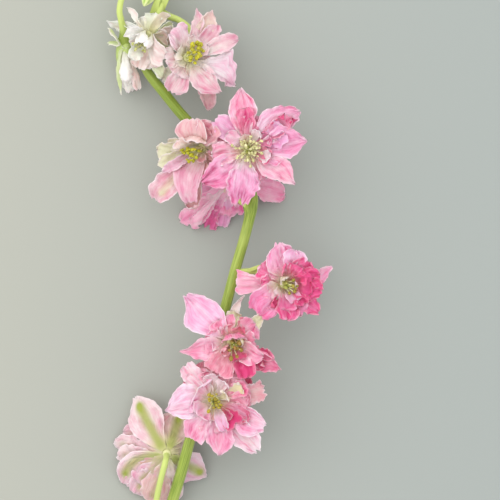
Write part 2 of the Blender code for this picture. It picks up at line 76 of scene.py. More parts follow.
# The stem, its stalks and its stamens.
STEM_RADIUS = 2.0
STEM_FLAT_Z = STEM_RADIUS * math.cos(math.pi / 8)
CORE_HALF = 1.2
STALK_RADIUS = 1.1
BUD_STALK_RADIUS = 0.78
CUP_RADIUS = 2.3
OTHER_CUPS = {"bloom_1": 1.15, "opening_bud": 2.9}
STAMEN_LENGTH = 5.6
THREAD_RADII = (0.24, 0.15)
CARPELS = 3
CARPEL_TURN = 2.1
CARPEL_LENGTH = 4.2
GOLDEN_ANGLE = math.pi * (3 - math.sqrt(5))

# The depth of the fine relief, the floor and the light, in metres and watts.
RELIEF = 0.0002
FLOOR_HALF = 3.0
WINDOW_PLACE = (-0.65, 0.75, 1.6)
WINDOW_SIZE = 2.8
WINDOW_POWER = 29.5
SURROUND_STRENGTH = 1.13


def shade(red, green, blue):
    """A display colour, each channel from 0 to 255, as the linear colour that a shader takes."""
    display = np.array((red, green, blue)) / 255
    linear = np.where(display <= 0.04045, display / 12.92, ((display + 0.055) / 1.055) ** 2.4)
    return (*map(float, linear), 1.0)


class Palette(NamedTuple):
    """A bloom's colours, from its palest to its deepest, with its rims, base and green parts."""

    pale: tuple = shade(252, 230, 238)
    pink: tuple = shade(250, 172, 202)
    deep: tuple = shade(232, 78, 140)
    rim: tuple = shade(255, 246, 248)
    cream: tuple = shade(232, 222, 172)
    green: tuple = shade(184, 196, 92)


class Petal(NamedTuple):
    """One petal: where its tip lies from the bloom's heart, its form, and its colours.

    x, y, z and width are in millimetres, launch, land and twist in degrees. bow bends the spine
    sideways, fold sinks the midrib, curl lifts the tip, cleft notches it, and pleat folds a fan.
    roll, in radians, turns the left rim over, or the right one where it is negative.

    pink is the depth of colour, below 0 for white, and tip its change towards the tip. rim, cream,
    rib and green are the strengths of the pale rim, cream base, green midrib and green tint, and a
    negative rib is seen from the front too. warm runs from lavender at -1 to peach at 1.

    outline, where it is given, has rows of the share of the length, from root to tip, and of how
    far the left and right rims lie from the midrib there, in millimetres.
    """

    x: float
    y: float
    z: float
    width: float
    blunt: float = 0.5
    launch: float = 35.0
    land: float = -10.0
    cup: float = 0.25
    wave: float = 0.6
    bow: float = 0.0
    fold: float = 0.0
    curl: float = 0.0
    cleft: float = 0.0
    pleat: float = 0.0
    ruffle: float = 0.5
    crinkle: float = 1.0
    roll: float = 0.0
    twist: float = 0.0
    pink: float = 0.4
    tip: float = 0.1
    rim: float = 0.85
    cream: float = 0.7
    rib: float = 0.6
    green: float = 0.0
    warm: float = 0.0
    outline: tuple = ()


class Ring(NamedTuple):
    """A whorl of like petals round a bloom's axis, with small seeded differences."""

    count: int
    length: float
    width: float
    lift: float
    turn: float
    seed: int
    look: Petal


class Bloom(NamedTuple):
    """A bloom's heart, the way it faces, its petals, whorls and stamens, and its colours.

    spread is the angle of the outermost stamens, lean tips them all over, and grain sizes anthers.
    """

    heart: tuple
    face: tuple
    petals: list
    rings: list
    stamens: int
    spread: float = 34.0
    lean: tuple = (0.0, 0.0, 0.0)
    grain: float = 1.0
    palette: Palette = Palette()
    anther: tuple = shade(206, 200, 120)
    slot: str = "petal_pink"


def smooth(*form, **looks):
    """A petal with a full pale rim and no green midrib."""
    return Petal(*form, **{"rim": 1, "rib": 0, **looks})


def backing(pink, rim=0.8, **looks):
    """A broad petal of a whorl that fills the gaps between the outer petals from behind."""
    return Petal(0, 0, 0, 0, 0.75, 15, -5, 0.15, pink=pink, rim=rim, rib=0.1, **looks)


# The colours of the palest blooms.
PALEST = Palette(
    pale=shade(246, 236, 234), pink=shade(242, 192, 206), deep=shade(229, 108, 156),
    cream=shade(232, 226, 184), green=shade(208, 220, 148),
)
SOFT = Palette(
    pale=shade(248, 229, 228), pink=shade(240, 188, 200), deep=shade(228, 116, 156),
    cream=shade(228, 226, 160), green=shade(176, 188, 88),
)

# Seen from behind, its face on the surface: pale, with green midribs on its backs.
BLOOM_1_PETALS = [
    Petal(-11.9, 20.4, -7.5, 13.5, launch=12, land=35, cup=0.12, pink=0.16, rib=1.1, rim=1,
          ruffle=0.25, cream=0.95, warm=-0.15, tip=-0.2,
          outline=((0.2, 3.4, 4.2), (0.45, 6.2, 7), (0.6, 6.8, 7.4), (0.75, 6, 6.8),
                   (0.86, 4.4, 4.6), (0.95, 2.6, 2.4), (1, 1, 1))),
    Petal(5, 15, -7.5, 14, 0.6, 12, 40, 0.12, 0.4, pink=0, rib=1, warm=0.6, cream=0.95,
          ruffle=0.3),
    Petal(14.3, -8.4, -10, 13, launch=20, land=20, cup=0.03, pink=0.1, rib=1, warm=-0.5, rim=1,
          ruffle=0.2, cream=0.95,
          outline=((0.2, 2.4, 2.8), (0.36, 5, 5.4), (0.5, 7.4, 6.6), (0.66, 7.2, 5),
                   (0.84, 4.6, 2.8), (0.95, 2.2, 1.4), (1, 0.5, 0.4))),
    Petal(-16.4, -11.4, -11, 13.5, launch=20, land=20, cup=0.05, pink=0.1, rib=0.9, rim=1, bow=4.5,
          ruffle=0.3, cream=0.95, warm=-0.3,
          outline=((0.2, 2.2, 2), (0.45, 3.6, 4.2), (0.7, 4, 6), (0.86, 3.2, 5.4),
                   (0.95, 2.2, 3.4), (1, 1.2, 1.4))),
    Petal(-12, -15, -11.6, 9, 0.7, 20, 20, 0.03, 0.3, pink=0.1, rim=1, ruffle=0.3, warm=-0.3),
    Petal(-19.6, 3.4, -12.4, 9, 0.6, 20, 25, 0, 0.4, pink=0.25, tip=-0.2, rib=0.3, rim=1,
          crinkle=0.6, warm=-0.1),
    Petal(-18.4, -1, -11, 8, 0.6, 14, 25, 0.1, 0.5, pink=0.2, tip=-0.2, rib=0.3, rim=1,
          crinkle=0.6, warm=-0.1),
    Petal(-16.4, 8, -11.6, 10, 0.6, 14, 25, 0.1, 0.5, pink=0.2, rib=0.2, ruffle=0.4, crinkle=0.6,
          warm=-0.2),
    Petal(-12.4, -6, -8, 9, 0.8, 10, 25, 0.2, 0.5, pink=0.35, rib=0.5, warm=0.2, crinkle=0.6,
          ruffle=0.3),
    Petal(-14.6, -12.6, -12, 14, 0.8, 20, 20, 0.03, 0.2, pink=0.2, rib=0.3, rim=1, crinkle=0.4,
          ruffle=0.2, warm=-0.3),
    Petal(-10.4, -11.2, -8.6, 10, 0.8, 15, 20, 0.1, 0.2, pink=0.3, warm=-0.3, crinkle=0.4,
          ruffle=0.2),
    Petal(-6, -18.4, -11, 12, 0.7, 15, 20, 0.03, 0.2, pink=0.15, rib=0.5, warm=0.6, ruffle=0.2,
          rim=1, crinkle=0.5),
    Petal(-2.6, -11, -6.6, 8, 0.7, 8, 20, 0.1, 0.2, pink=0.1, warm=0.6, ruffle=0.2, crinkle=0.4),
    Petal(2.2, -18, -12.4, 8, 0.6, 20, 20, 0.03, 0.2, pink=0, rib=0.1, ruffle=0.2, crinkle=0.6),
    Petal(3.6, -11, -6, 5, 0.6, 10, 30, 0.2, 0.2, pink=-0.15, rib=0, ruffle=0.2),
]

# Face on, the widest of the lower blooms, with many curled inner petals.
BLOOM_2_PETALS = [
    Petal(-18, -3.6, 2, 17, cup=0.22, pink=-0.02, tip=0.15, warm=-0.4, rim=1,
          outline=((0.12, 2, 2.4), (0.3, 4, 7.5), (0.52, 4.8, 9), (0.69, 3.8, 7.2),
                   (0.86, 2.2, 3.9), (0.95, 1, 1.4), (1, 0.4, 0.4))),
    Petal(-10.8, 13.2, 0, 9, pink=0.05, tip=0, rim=1,
          outline=((0.15, 1.6, 1.6), (0.5, 3.4, 3.4), (0.72, 4.2, 3.4), (0.85, 3.9, 3.2),
                   (0.97, 2.6, 2.8), (1, 1.6, 2.2))),
    Petal(-3.6, 14.6, -2.6, 12, 0.7, 15, -15, warm=0.5),
    Petal(11, 11, -3, 12, 0.7, 15, -15, pink=0.7, warm=0.3),
    Petal(-7.6, -14.6, 1, 12, pink=0.16, tip=0.3, warm=-0.2, rim=1,
          outline=((0.2, 1.6, 2), (0.45, 2.6, 5.2), (0.67, 3.2, 6.7), (0.88, 3.6, 5.2),
                   (1, 3.4, 3.6))),
    Petal(1.7, -19.8, 0.5, 12.5, pink=0.32, fold=0.5, warm=-0.2, rim=1,
          outline=((0.2, 1.8, 1.8), (0.5, 5.5, 4.6), (0.7, 6.4, 4.6), (0.86, 5, 2.6),
                   (0.96, 2.2, 1.2), (1, 0.8, 0.6))),
    Petal(15.8, -18.4, 0, 13.5, pink=0.1, tip=-0.1, rim=0.9, cleft=1, fold=0.4,
          outline=((0.2, 2, 2), (0.5, 4.4, 4.6), (0.69, 4.8, 5), (0.84, 4.4, 3.6),
                   (0.94, 2.6, 2.6), (1, 0.8, 1.2))),
    Petal(18.4, -9, 2.5, 14, pink=0.46, tip=-0.3, rim=1, warm=-0.3, ruffle=0.3,
          outline=((0.2, 2, 2.4), (0.45, 3.6, 5), (0.67, 4, 7), (0.86, 2.8, 5.8), (1, 0.8, 3))),
    Petal(18.6, 3.4, -1, 10, pink=0.1, warm=0.8, ruffle=1, rim=1,
          outline=((0.3, 2.5, 2.5), (0.6, 3.6, 3.8), (0.82, 4.2, 3.9), (0.93, 4.6, 3),
                   (1, 2.2, 2.2))),
    Petal(13, -2.4, 2.6, 12, 0.8, 35, -10, 0.2, pink=0.45, warm=0.3),
    Petal(10.8, 7.4, 2.4, 9, 0.8, 40, 0, 0.3, warm=0.5),
    # The broad upright petal on the left of the heart, seen along its pale rim.
    Petal(-6.6, 3.6, 6, 15, 0.9, 45, 80, 0.3, pink=0.16, warm=-0.5, rim=1, ruffle=0.3),
    Petal(-6.4, -5.4, 4.6, 9, 0.8, 45, 30, 0.3, pink=0.2, warm=-0.4, rim=1),
    # Pale tips that curl back towards the heart, above it and on its right.
    smooth(3.8, 1.8, 5.8, 4.6, 0.9, 60, 140, 0.3, pink=-0.4, green=0.5, cream=0.3),
    smooth(9.2, 4.6, 5.4, 6.5, 0.9, 50, 140, 0.3, pink=-0.4, green=0.6, cream=0.3),
    Petal(12, 6, 4.6, 7, 0.8, 40, 20, 0.4, pink=0.55, rim=0.8, ruffle=0.8),
    smooth(3, 6.4, 6, 6, 0.9, 50, 160, 0.5, pink=-0.2, warm=0.3, cream=0.3),
    smooth(-1.4, 8.8, 4.4, 6.5, 0.9, 50, 150, 0.4, pink=-0.1),
    Petal(12.4, 1.2, 4, 7, 0.8, 40, 60, 0.5, pink=0.5, rim=1),
    Petal(-4.8, 9.2, 2.5, 6.5, 0.6, 40, 0, 0.5, pink=0.1, rim=1, twist=-40),
    Petal(3, 11.8, 2, 8, 0.7, 40, 0, 0.4, pink=0.25, warm=0.8),
    # Looped petals below the heart, deep inside and pale along their rims.
    Petal(8.6, -9.4, 6, 10, 0.9, 40, 30, 0.6, pink=1, rim=1, cleft=2.2, ruffle=0.3),
    Petal(5, -6.4, 6, 5, 0.85, 50, 120, 0.6, pink=0.7, rim=0.9, twist=-20),
    Petal(12.8, -6, 5, 8.5, 0.8, 40, 60, 0.5, pink=0.55, rim=1, twist=20, ruffle=0.9),
    Petal(3.8, -11, 5.4, 5.6, 0.7, 50, -20, 0.5, pink=0.15, warm=-0.8, rim=1),
    Petal(-1.6, -7.4, 2.6, 6, 0.9, 35, 0, 0.3, pink=0.1, cream=1, warm=0.8),
]

# Turned a little down and right, over the top of the bloom below it.
BLOOM_3_PETALS = [
    Petal(-17, 17, 1, 13, pink=0.2, warm=-0.6, fold=0.6,
          outline=((0.12, 1.6, 1.6), (0.4, 5.6, 6), (0.51, 7.2, 6.4), (0.62, 8, 6.2),
                   (0.7, 7.6, 5.6), (0.78, 5.2, 4.8), (0.86, 3, 3.6), (0.94, 2, 2.4),
                   (1, 1.2, 1.4))),
    Petal(-18.9, -3.3, 0, 10, pink=0.3, tip=0.15, warm=-0.1, fold=0.4,
          outline=((0.12, 1.5, 1.5), (0.3, 4.6, 4.2), (0.57, 4.7, 4.4), (0.69, 4.2, 2.5),
                   (0.8, 2.8, 1), (0.9, 1.4, 0.5), (1, 0.25, 0.25))),
    smooth(11.4, 9.4, -2, 8, 0.6, 10, -5, pink=-0.4, green=0.6, cream=0, fold=0.5,
           outline=((0.3, 2.2, 2.4), (0.6, 2.6, 3), (0.8, 2.6, 3), (0.95, 2, 1.6), (1, 1.2, 0.6))),
    Petal(6.6, 7.6, -1, 8, 0.6, 20, -20, pink=0.5, warm=0.6),
    Petal(3, 5.6, 4.4, 6.5, 0.8, 50, 60, 0.5, pink=0.75, warm=0.3, rim=0.6, ruffle=0.8),
    Petal(-2.8, 5.4, 4.6, 6, 0.8, 50, 60, 0.5, pink=0.55, rim=0.9, warm=0.3, twist=20),
    Petal(17.6, -10, 0, 11, pink=0.6, fold=1.2, rim=1, ruffle=0.9, roll=1.7,
          outline=((0.15, 1.8, 1.8), (0.33, 3.4, 3.2), (0.47, 4.6, 3.8), (0.6, 5, 4.5),
                   (0.78, 3.6, 3), (0.91, 1.9, 1.8), (1, 0.6, 0.4))),
    smooth(4.7, 16.8, -3.6, 3.2, launch=-35, land=25, pink=-0.4, green=0.2, cream=0, ruffle=0.2,
           bow=1.4,
           outline=((0.2, 1.2, 1.2), (0.5, 1.8, 1.8), (0.7, 1.2, 1.2), (0.9, 0.7, 0.7),
                    (1, 0.3, 0.3))),
    Petal(0.6, 11.4, -2, 6, 0.8, 0, 10, pink=-0.4, green=0.6, cream=0, rib=0),
    Petal(-5.8, -11.5, 2.5, 12, warm=0.5, rim=0.9,
          outline=((0.2, 2, 2), (0.5, 4.6, 5), (0.85, 5.8, 6.8), (1, 4.6, 5.6))),
    Petal(4.6, -13.4, 3, 10, pink=0.9, fold=0.6, pleat=0.6,
          outline=((0.2, 1.8, 1.6), (0.5, 4.4, 2.2), (0.68, 5.3, 2.6), (0.94, 4.4, 2.4),
                   (1, 2.6, 1.8))),
    # The tube petal, the cream swirl, and the smooth petals on the right.
    smooth(-4.2, -4.4, 5.4, 7, 0.95, 70, 30, 1.1, pink=0.45, warm=0.7),
    Petal(3.2, -0.4, 5.6, 6, 0.9, 70, 160, 0.7, pink=-0.1, cream=1, warm=0.5, rim=1),
    Petal(11.4, -5.6, 3.8, 11, launch=40, cup=0.3, pink=0.35, rim=1, ruffle=0.2,
          outline=((0.15, 2.4, 2.4), (0.4, 3.4, 5), (0.7, 2.8, 5), (0.9, 1.6, 3), (1, 0.8, 1))),
    Petal(8.6, 0.6, 1.6, 9, 0.8, 40, 0, 0.4, rim=1),
    Petal(15.4, -6.8, 3.4, 5.5, 0.6, 30, 60, 0.7, pink=0.7, rim=1, ruffle=0.9, twist=-30),
    Petal(12.4, -9.6, 3.6, 5, 0.6, 30, 60, 0.7, pink=0.8, rim=1, ruffle=0.9, twist=40),
    Petal(2.6, -7, 3.2, 7, 0.8, 45, 0, 0.4, pink=0.8),
    Petal(-7.6, 1, 3, 9, 0.8, 40, 50, 0.3, pink=0.25, warm=-0.4, rim=1),
    # The hood over the stamens.
    smooth(1, 0.8, 7.2, 11, 0.85, 0, 165, 0.5, 0.2, pink=0.45, cream=0.3, ruffle=0.3),
]

# Out on the right of the stem, the deepest pink.
BLOOM_4_PETALS = [
    Petal(-2.3, 15.2, 4, 13.4, pink=0.3, curl=0.6, rim=0.9, warm=-0.1, crinkle=1.4,
          outline=((0.15, 2, 1.6), (0.36, 6.4, 4.4), (0.55, 6.8, 6.7), (0.74, 6, 5.4),
                   (0.87, 4.2, 4), (0.93, 2, 2.2), (1, 1.4, 1.4))),
    Petal(4.4, 12.4, 3.6, 9, 0.75, pink=0.15, warm=-0.6, rim=0.8, ruffle=0.2),
    Petal(-17.6, 0.8, 0, 9.6, pink=0.25, warm=0.3, rim=0.8, pleat=0.2, cup=0.1,
          outline=((0.2, 1, 1), (0.5, 2.6, 2.4), (0.75, 4, 3.6), (0.93, 4.9, 4.3), (1, 3.4, 4.5))),
    Petal(-9.4, -11.4, 2.8, 13, pink=0.42, tip=0.3, pleat=0.4, cream=0.8, warm=-0.3,
          outline=((0.15, 2, 3), (0.3, 3.4, 6.8), (0.55, 4.4, 8.2), (0.8, 4.6, 8.3),
                   (0.92, 4, 7.2), (1, 2.4, 6))),
    Petal(1.2, -13.2, 3, 9.5, 0.7, pink=0.7, ruffle=0.9, pleat=0.4),
    Petal(6.4, -11.4, 1, 8, 0.6, 30, -10, pink=0.65, ruffle=0.9, pleat=0.3, warm=-0.3),
    Petal(12.6, -10.4, -1.5, 7, 0.4, pink=0.75, ruffle=0.9, pleat=0.4),
    Petal(14.6, -2.2, 1, 9, 0.4, pink=0.9, ruffle=1.2, pleat=0.6),
    Petal(17.5, 6.6, -5, 8, launch=20, land=-20, pink=0.35, rim=1, cup=0.1,
          outline=((0.4, 1.4, 2.5), (0.63, 1.2, 4), (0.7, 1.1, 4.4), (0.84, 0.9, 3.3),
                   (1, 0.3, 0.4))),
    Petal(13.4, 3.6, 1.5, 9.5, 0.5, pink=0.85, ruffle=1, pleat=0.4),
    Petal(9.4, 8.4, 2, 10.5, 0.6, pink=0.75, ruffle=1, pleat=0.4),
    # The cream patch, the curled strip by the stamens, and the dark inner petals, whose deep pink
    # is partly their own colour and partly painted shade.
    Petal(-6, -3, 3.8, 8, 0.8, 40, 0, 0.2, pink=0, cream=0.9, rib=0, rim=0.6),
    Petal(-2.8, -4.6, 4.2, 5.5, 0.7, 45, 0, 0.3, pink=-0.1, cream=0.8, rib=0, rim=0.8),
    smooth(0.6, 1.2, 6.2, 4.6, 0.9, 50, 165, 0.6, pink=-0.3, cream=0.8, green=0.3),
    smooth(4, -0.6, 5.8, 4, 0.9, 50, 165, 0.7, pink=-0.2, cream=0.8),
    Petal(-7, 2.2, 3, 6, 0.7, 40, 0, 0.3, pink=0.6, ruffle=0.8),
    Petal(-4.4, 6, 3.4, 6, 0.7, 45, 0, 0.4, pink=0.45, ruffle=0.8),
    Petal(0.6, 8, 4, 7, 0.6, 40, 0, 0.5, pink=0.75, ruffle=0.9, twist=40, rim=0.3),
    Petal(6.6, 6.2, 4.5, 10, 0.7, 45, 10, 0.3, pink=0.75, ruffle=1.3, twist=-35, rim=0.3),
    # The deepest pink on these right inner petals is partly their own colour and partly painted
    # shade between their folds.
    Petal(11.2, 1.8, 3.4, 11, 0.6, 40, 0, 0.4, pink=1.1, ruffle=1.4, twist=35, rim=0.2,
          crinkle=1.8),
    Petal(10.4, -4.2, 3, 9, 0.6, 45, 0, 0.5, pink=1, ruffle=1.3, twist=-35, rim=0.3),
    Petal(4.4, -6.6, 4.4, 6, 0.7, 50, 0, 0.4, pink=0.3, rim=0.8, warm=-0.6),
    Petal(0.4, -9.6, 4.4, 8, 0.8, 50, 0, 0.5, pink=0.7, ruffle=0.6, warm=-0.3, rim=0.5),
    Petal(7.8, -8, 3.4, 6, 0.6, 45, 0, 0.5, pink=0.85, ruffle=0.9, rim=0.6),
    Petal(-4.6, -8.8, 3.5, 5, 0.7, 50, 0, 0.6, pink=0.95, ruffle=0.9, twist=-20, rim=0.3),
]

# Under the stem, face down: only its tips show below its neighbours.
BLOOM_5_PETALS = [
    smooth(-18.2, -14.8, -11.1, 5.6, 0.8, 15, 20, 0.03, 0.3, pink=0.3, tip=0.2, warm=0.2,
           ruffle=0.8, cream=0),
    smooth(-14.2, -14.8, -9.6, 6.6, 0.8, 15, 20, 0.1, 0.3, pink=0.5, ruffle=0.8, cream=0),
    smooth(-13.8, -16.4, -10.6, 5, 0.9, 20, 100, 0.6, pink=0.25, ruffle=0.6, warm=0.2, cream=0),
    smooth(-8.4, -17.4, -11.1, 12, launch=15, land=20, cup=0.03, wave=0.3, pink=0.7, tip=0.5,
           pleat=0.5, cleft=1, ruffle=0.9, crinkle=1.5, cream=0,
           outline=((0.15, 4.4, 2), (0.4, 7.2, 1.6), (0.7, 5.1, 1.9), (0.9, 3.4, 2.8),
                    (1, 2.6, 3))),
    Petal(-2.9, -16.8, -10.6, 7, launch=15, land=20, cup=0.03, wave=0.2, pink=0.5, rim=0.8, rib=0,
          warm=-0.6, pleat=0.3, crinkle=1.5,
          outline=((0.2, 2.2, 2.4), (0.5, 2.8, 2.6), (0.9, 2.6, 2.4), (1, 2, 1.8))),
    Petal(-12, -5, -7, 11, 0.8, 15, 20, 0.1, 0.3, pink=0.5, warm=-0.3, rib=0),
    Petal(20.4, -4.6, -11.1, 9, 0.75, 15, 20, 0.03, 0.2, pink=0.5, warm=0.3, rib=0, pleat=0.3),
    Petal(13, 13, -11.1, 11, 0.5, 15, 20, 0.03, 0.2),
    Petal(-6, 16, -11.1, 12, 0.5, 15, 20, 0.03, 0.2),
]

# The large bloom that faces straight up.
BLOOM_6_PETALS = [
    Petal(-2.7, 22, 3.5, 12, pink=0.3, rim=1, cup=0.2,
          outline=((0.15, 1.6, 1.5), (0.4, 4.5, 2.8), (0.6, 6, 5.5), (0.81, 4.4, 4.1),
                   (0.92, 1.9, 1.9), (1, 0.4, 0.4))),
    Petal(19, 13.8, 1, 12, pink=0.1, tip=0.25, rim=1, warm=-0.4, ruffle=0.9,
          outline=((0.15, 1.8, 1.5), (0.3, 5.5, 3), (0.44, 7.9, 3.2), (0.58, 8.2, 3.2),
                   (0.81, 6.2, 3), (0.94, 3.2, 1.6), (1, 0.5, 0.5))),
    Petal(21.4, 3.2, 2.5, 13, pink=0.28, tip=0.2, rim=0.9, fold=0.5, warm=-0.5,
          outline=((0.15, 1.6, 1.6), (0.35, 4.5, 3.2), (0.56, 7.4, 5), (0.66, 6.6, 6),
                   (0.81, 4.6, 4.1), (0.91, 2.5, 2.1), (1, 0.4, 0.5))),
    Petal(17, -12.6, 1, 10.5, pink=0.2, rim=0.8, fold=0.5,
          outline=((0.15, 1.5, 1.5), (0.3, 3.2, 3.6), (0.43, 4.6, 4.6), (0.55, 5.4, 4.1),
                   (0.7, 5.6, 2.9), (0.82, 3.6, 2.2), (0.9, 1.8, 1.6), (1, 0.4, 0.5))),
    Petal(-3.2, -20.6, 2, 13, pink=0.25, tip=0.4, cleft=1.8, fold=-0.8, warm=-0.6, ruffle=1.3,
          rim=1, crinkle=1.7,
          outline=((0.15, 1.6, 1.6), (0.38, 4.9, 5.2), (0.55, 6.6, 6.5), (0.75, 5, 5.4),
                   (0.89, 3.6, 4.4), (1, 2.4, 3.2))),
    Petal(-17.3, -12.2, 1, 12, pink=0.3, tip=0.45, pleat=0.8, ruffle=0.7, crinkle=2, warm=-0.5,
          rim=1,
          outline=((0.15, 1.6, 1.8), (0.35, 4.4, 4), (0.52, 7, 4.8), (0.65, 7.2, 4.4),
                   (0.82, 4.8, 2.6), (0.92, 2.6, 1.5), (1, 0.7, 0.6))),
    Petal(-12.4, 10.6, 2.5, 9, pink=0.25, warm=-0.7, rim=1, fold=0.9,
          outline=((0.15, 1.4, 1.6), (0.45, 3.2, 3.6), (0.75, 3.8, 4.8), (0.9, 2.8, 4.4),
                   (1, 1.6, 2.4))),
    Petal(-13.8, -2, 2.2, 9, 0.6, 45, -10, pink=0.25, warm=0.1, ruffle=1.1, rim=1, pleat=0.5,
          crinkle=1.8),
    # Rolled and folded inner petals on the right, and inside the top and left petals.
    Petal(8.2, 4, 5.2, 8, 0.9, 60, 120, 0.7, pink=0.6, rim=0.6, rib=0, warm=-0.3, crinkle=0.4,
          cream=0.2),
    Petal(13.8, 6.4, 4, 9.5, 0.8, 30, 10, 0.3, pink=0.3, warm=-1, rim=0.6, crinkle=0.4, cream=0),
    Petal(12.6, 0.8, 3.8, 6.5, 0.9, 40, 60, 0.4, warm=-0.5, rim=0.8, rib=0, cream=0.2),
    Petal(13.6, -2.4, 2.6, 9, 0.6, 35, 0, 0.3, pink=0.35, ruffle=0.9, warm=-0.5),
    Petal(9, -2.6, 3.5, 7, 0.7, 45, 0, 0.5, pink=0.65, twist=20),
    smooth(10.8, 8.4, 5, 6.5, 0.85, 40, 165, 0.5, pink=0.3, warm=-0.9),
    Petal(16, 11.6, 3.2, 7, 0.6, 30, 0, 0.5, pink=0.45, ruffle=1.1, rim=0.8),
    Petal(13.4, 13.4, 3.6, 5, 0.6, 30, 20, 0.7, pink=1.1, ruffle=1.3, twist=50, rim=0.3),
    Petal(17.6, 10.8, 3, 5, 0.6, 30, 20, 0.7, pink=1.1, ruffle=1.3, twist=-50, rim=0.3),
    Petal(-1.2, 15.4, 4.5, 7.5, 0.7, 35, 0, 0.4, pink=0.6, rim=0.5, ruffle=0.8),
    Petal(1.4, 11.4, 4.2, 6, 0.6, 35, 0, 0.4, pink=0.55, rim=0.5, twist=20),
    Petal(-8, 5.8, 4, 5.4, 0.7, 40, 0, 0.3, pink=0.15, warm=-0.2, rim=1, cream=0.2),
    # Cream staminodes.
    smooth(3.2, 5.8, 5.6, 5, 0.9, 60, 165, 0.5, pink=-0.2, cream=0.5),
    smooth(6.8, -2.8, 4.8, 6, 0.9, 50, 165, 0.5, pink=-0.2, cream=0.5),
    Petal(-1.6, 5.6, 3.4, 4.4, 0.8, 40, 0, 0.4, pink=-0.1, cream=1, warm=0.5, rib=0),
    Petal(4.6, 1.6, 4, 3.2, 0.8, 50, 0, 0.8, pink=-0.1, cream=0.8, warm=0.3, rib=0),
]

# Half hidden on the left of the large one, facing down and left.
BLOOM_7_PETALS = [
    # The arch over the stamens and its cream lower lip.
    Petal(4.4, 8.6, 7.4, 11, 0.8, 65, -10, 0.3, pink=0.25, warm=0.1, ruffle=0.3, rim=1, cream=0.2),
    smooth(-3.2, 10.4, 4, 15, launch=60, land=-30, cup=0.3, wave=0.1, pink=0.08, warm=0.2,
           cream=0.5, ruffle=0.1, crinkle=0.4,
           outline=((0.15, 2.5, 3), (0.4, 6, 6), (0.65, 7.4, 6.8), (0.82, 6.6, 6.2),
                    (0.93, 4.6, 4.6), (1, 2.2, 2.2))),
    smooth(-4.4, 1.6, 7.8, 12, launch=20, land=160, cup=0.4, wave=0.2, pink=-0.05, tip=-0.2,
           warm=0.5, ruffle=0.2,
           outline=((0.2, 4, 3.5), (0.6, 6.5, 6), (0.9, 5.4, 5), (1, 4, 3.6))),
    Petal(-9.2, 2.8, 5.6, 6, 0.9, 60, 0, 0.3, pink=-0.1, rim=1, green=0.15, ruffle=0.3),
    # Greenish white tips on the left, and the khaki-streaked petal below them.
    Petal(-16.8, -0.8, -4, 7.5, 0.6, 20, -15, pink=-0.4, green=0.5, rim=1, cream=0, ruffle=0.2),
    Petal(-12.6, 2, -1.5, 6.4, 0.7, 30, -15, pink=-0.4, green=0.4, rim=1, cream=0, ruffle=0.2),
    Petal(-16.4, -6, -1.5, 6, 0.4, 25, -5, pink=-0.4, green=0.5, rim=1, cream=0, ruffle=0.2),
    Petal(-14.6, -8.8, 0.5, 4.6, 0.4, 35, -5, 0.5, pink=0.15, rim=1, warm=-0.6),
    Petal(-16.6, -19, -5, 10.5, launch=30, land=-15, pink=0.12, rim=1, fold=0.8, rib=-0.5,
          warm=-0.2,
          outline=((0.2, 1.6, 1.8), (0.45, 3.6, 4.4), (0.62, 4.6, 5.6), (0.83, 3.8, 5),
                   (0.95, 2.2, 3.4), (1, 0.8, 1.6))),
    Petal(-4, -20, 1.5, 12, launch=40, land=-20, pink=0.25, warm=-0.4, rim=0.7, cup=0.15,
          crinkle=0.5, twist=-30, ruffle=0.2,
          outline=((0.15, 2.4, 4.5), (0.3, 3, 7.6), (0.46, 3, 7.9), (0.65, 2.8, 6.4),
                   (0.81, 2.8, 4.2), (0.92, 2.6, 3), (1, 2.2, 2.2))),
    Petal(10.6, 4.4, 0.6, 10, 0.6, 20, 0, pink=0.2, warm=0.2),
    smooth(-5, -21.6, -0.5, 6.5, 0.9, 0, 140, 0.6, pink=0.1, warm=0.4),
    Petal(5, -3.9, 4.5, 6, 0.8, 45, 10, 0.8, rim=1, twist=30),
    Petal(1.2, -5.5, 4, 5, 0.8, 45, 10, 0.8, pink=0.35, rim=1, twist=-20),
    Petal(1.8, -12, 1, 6, 0.7, 35, 0, 0.4, pink=0.3, warm=0.7),
]

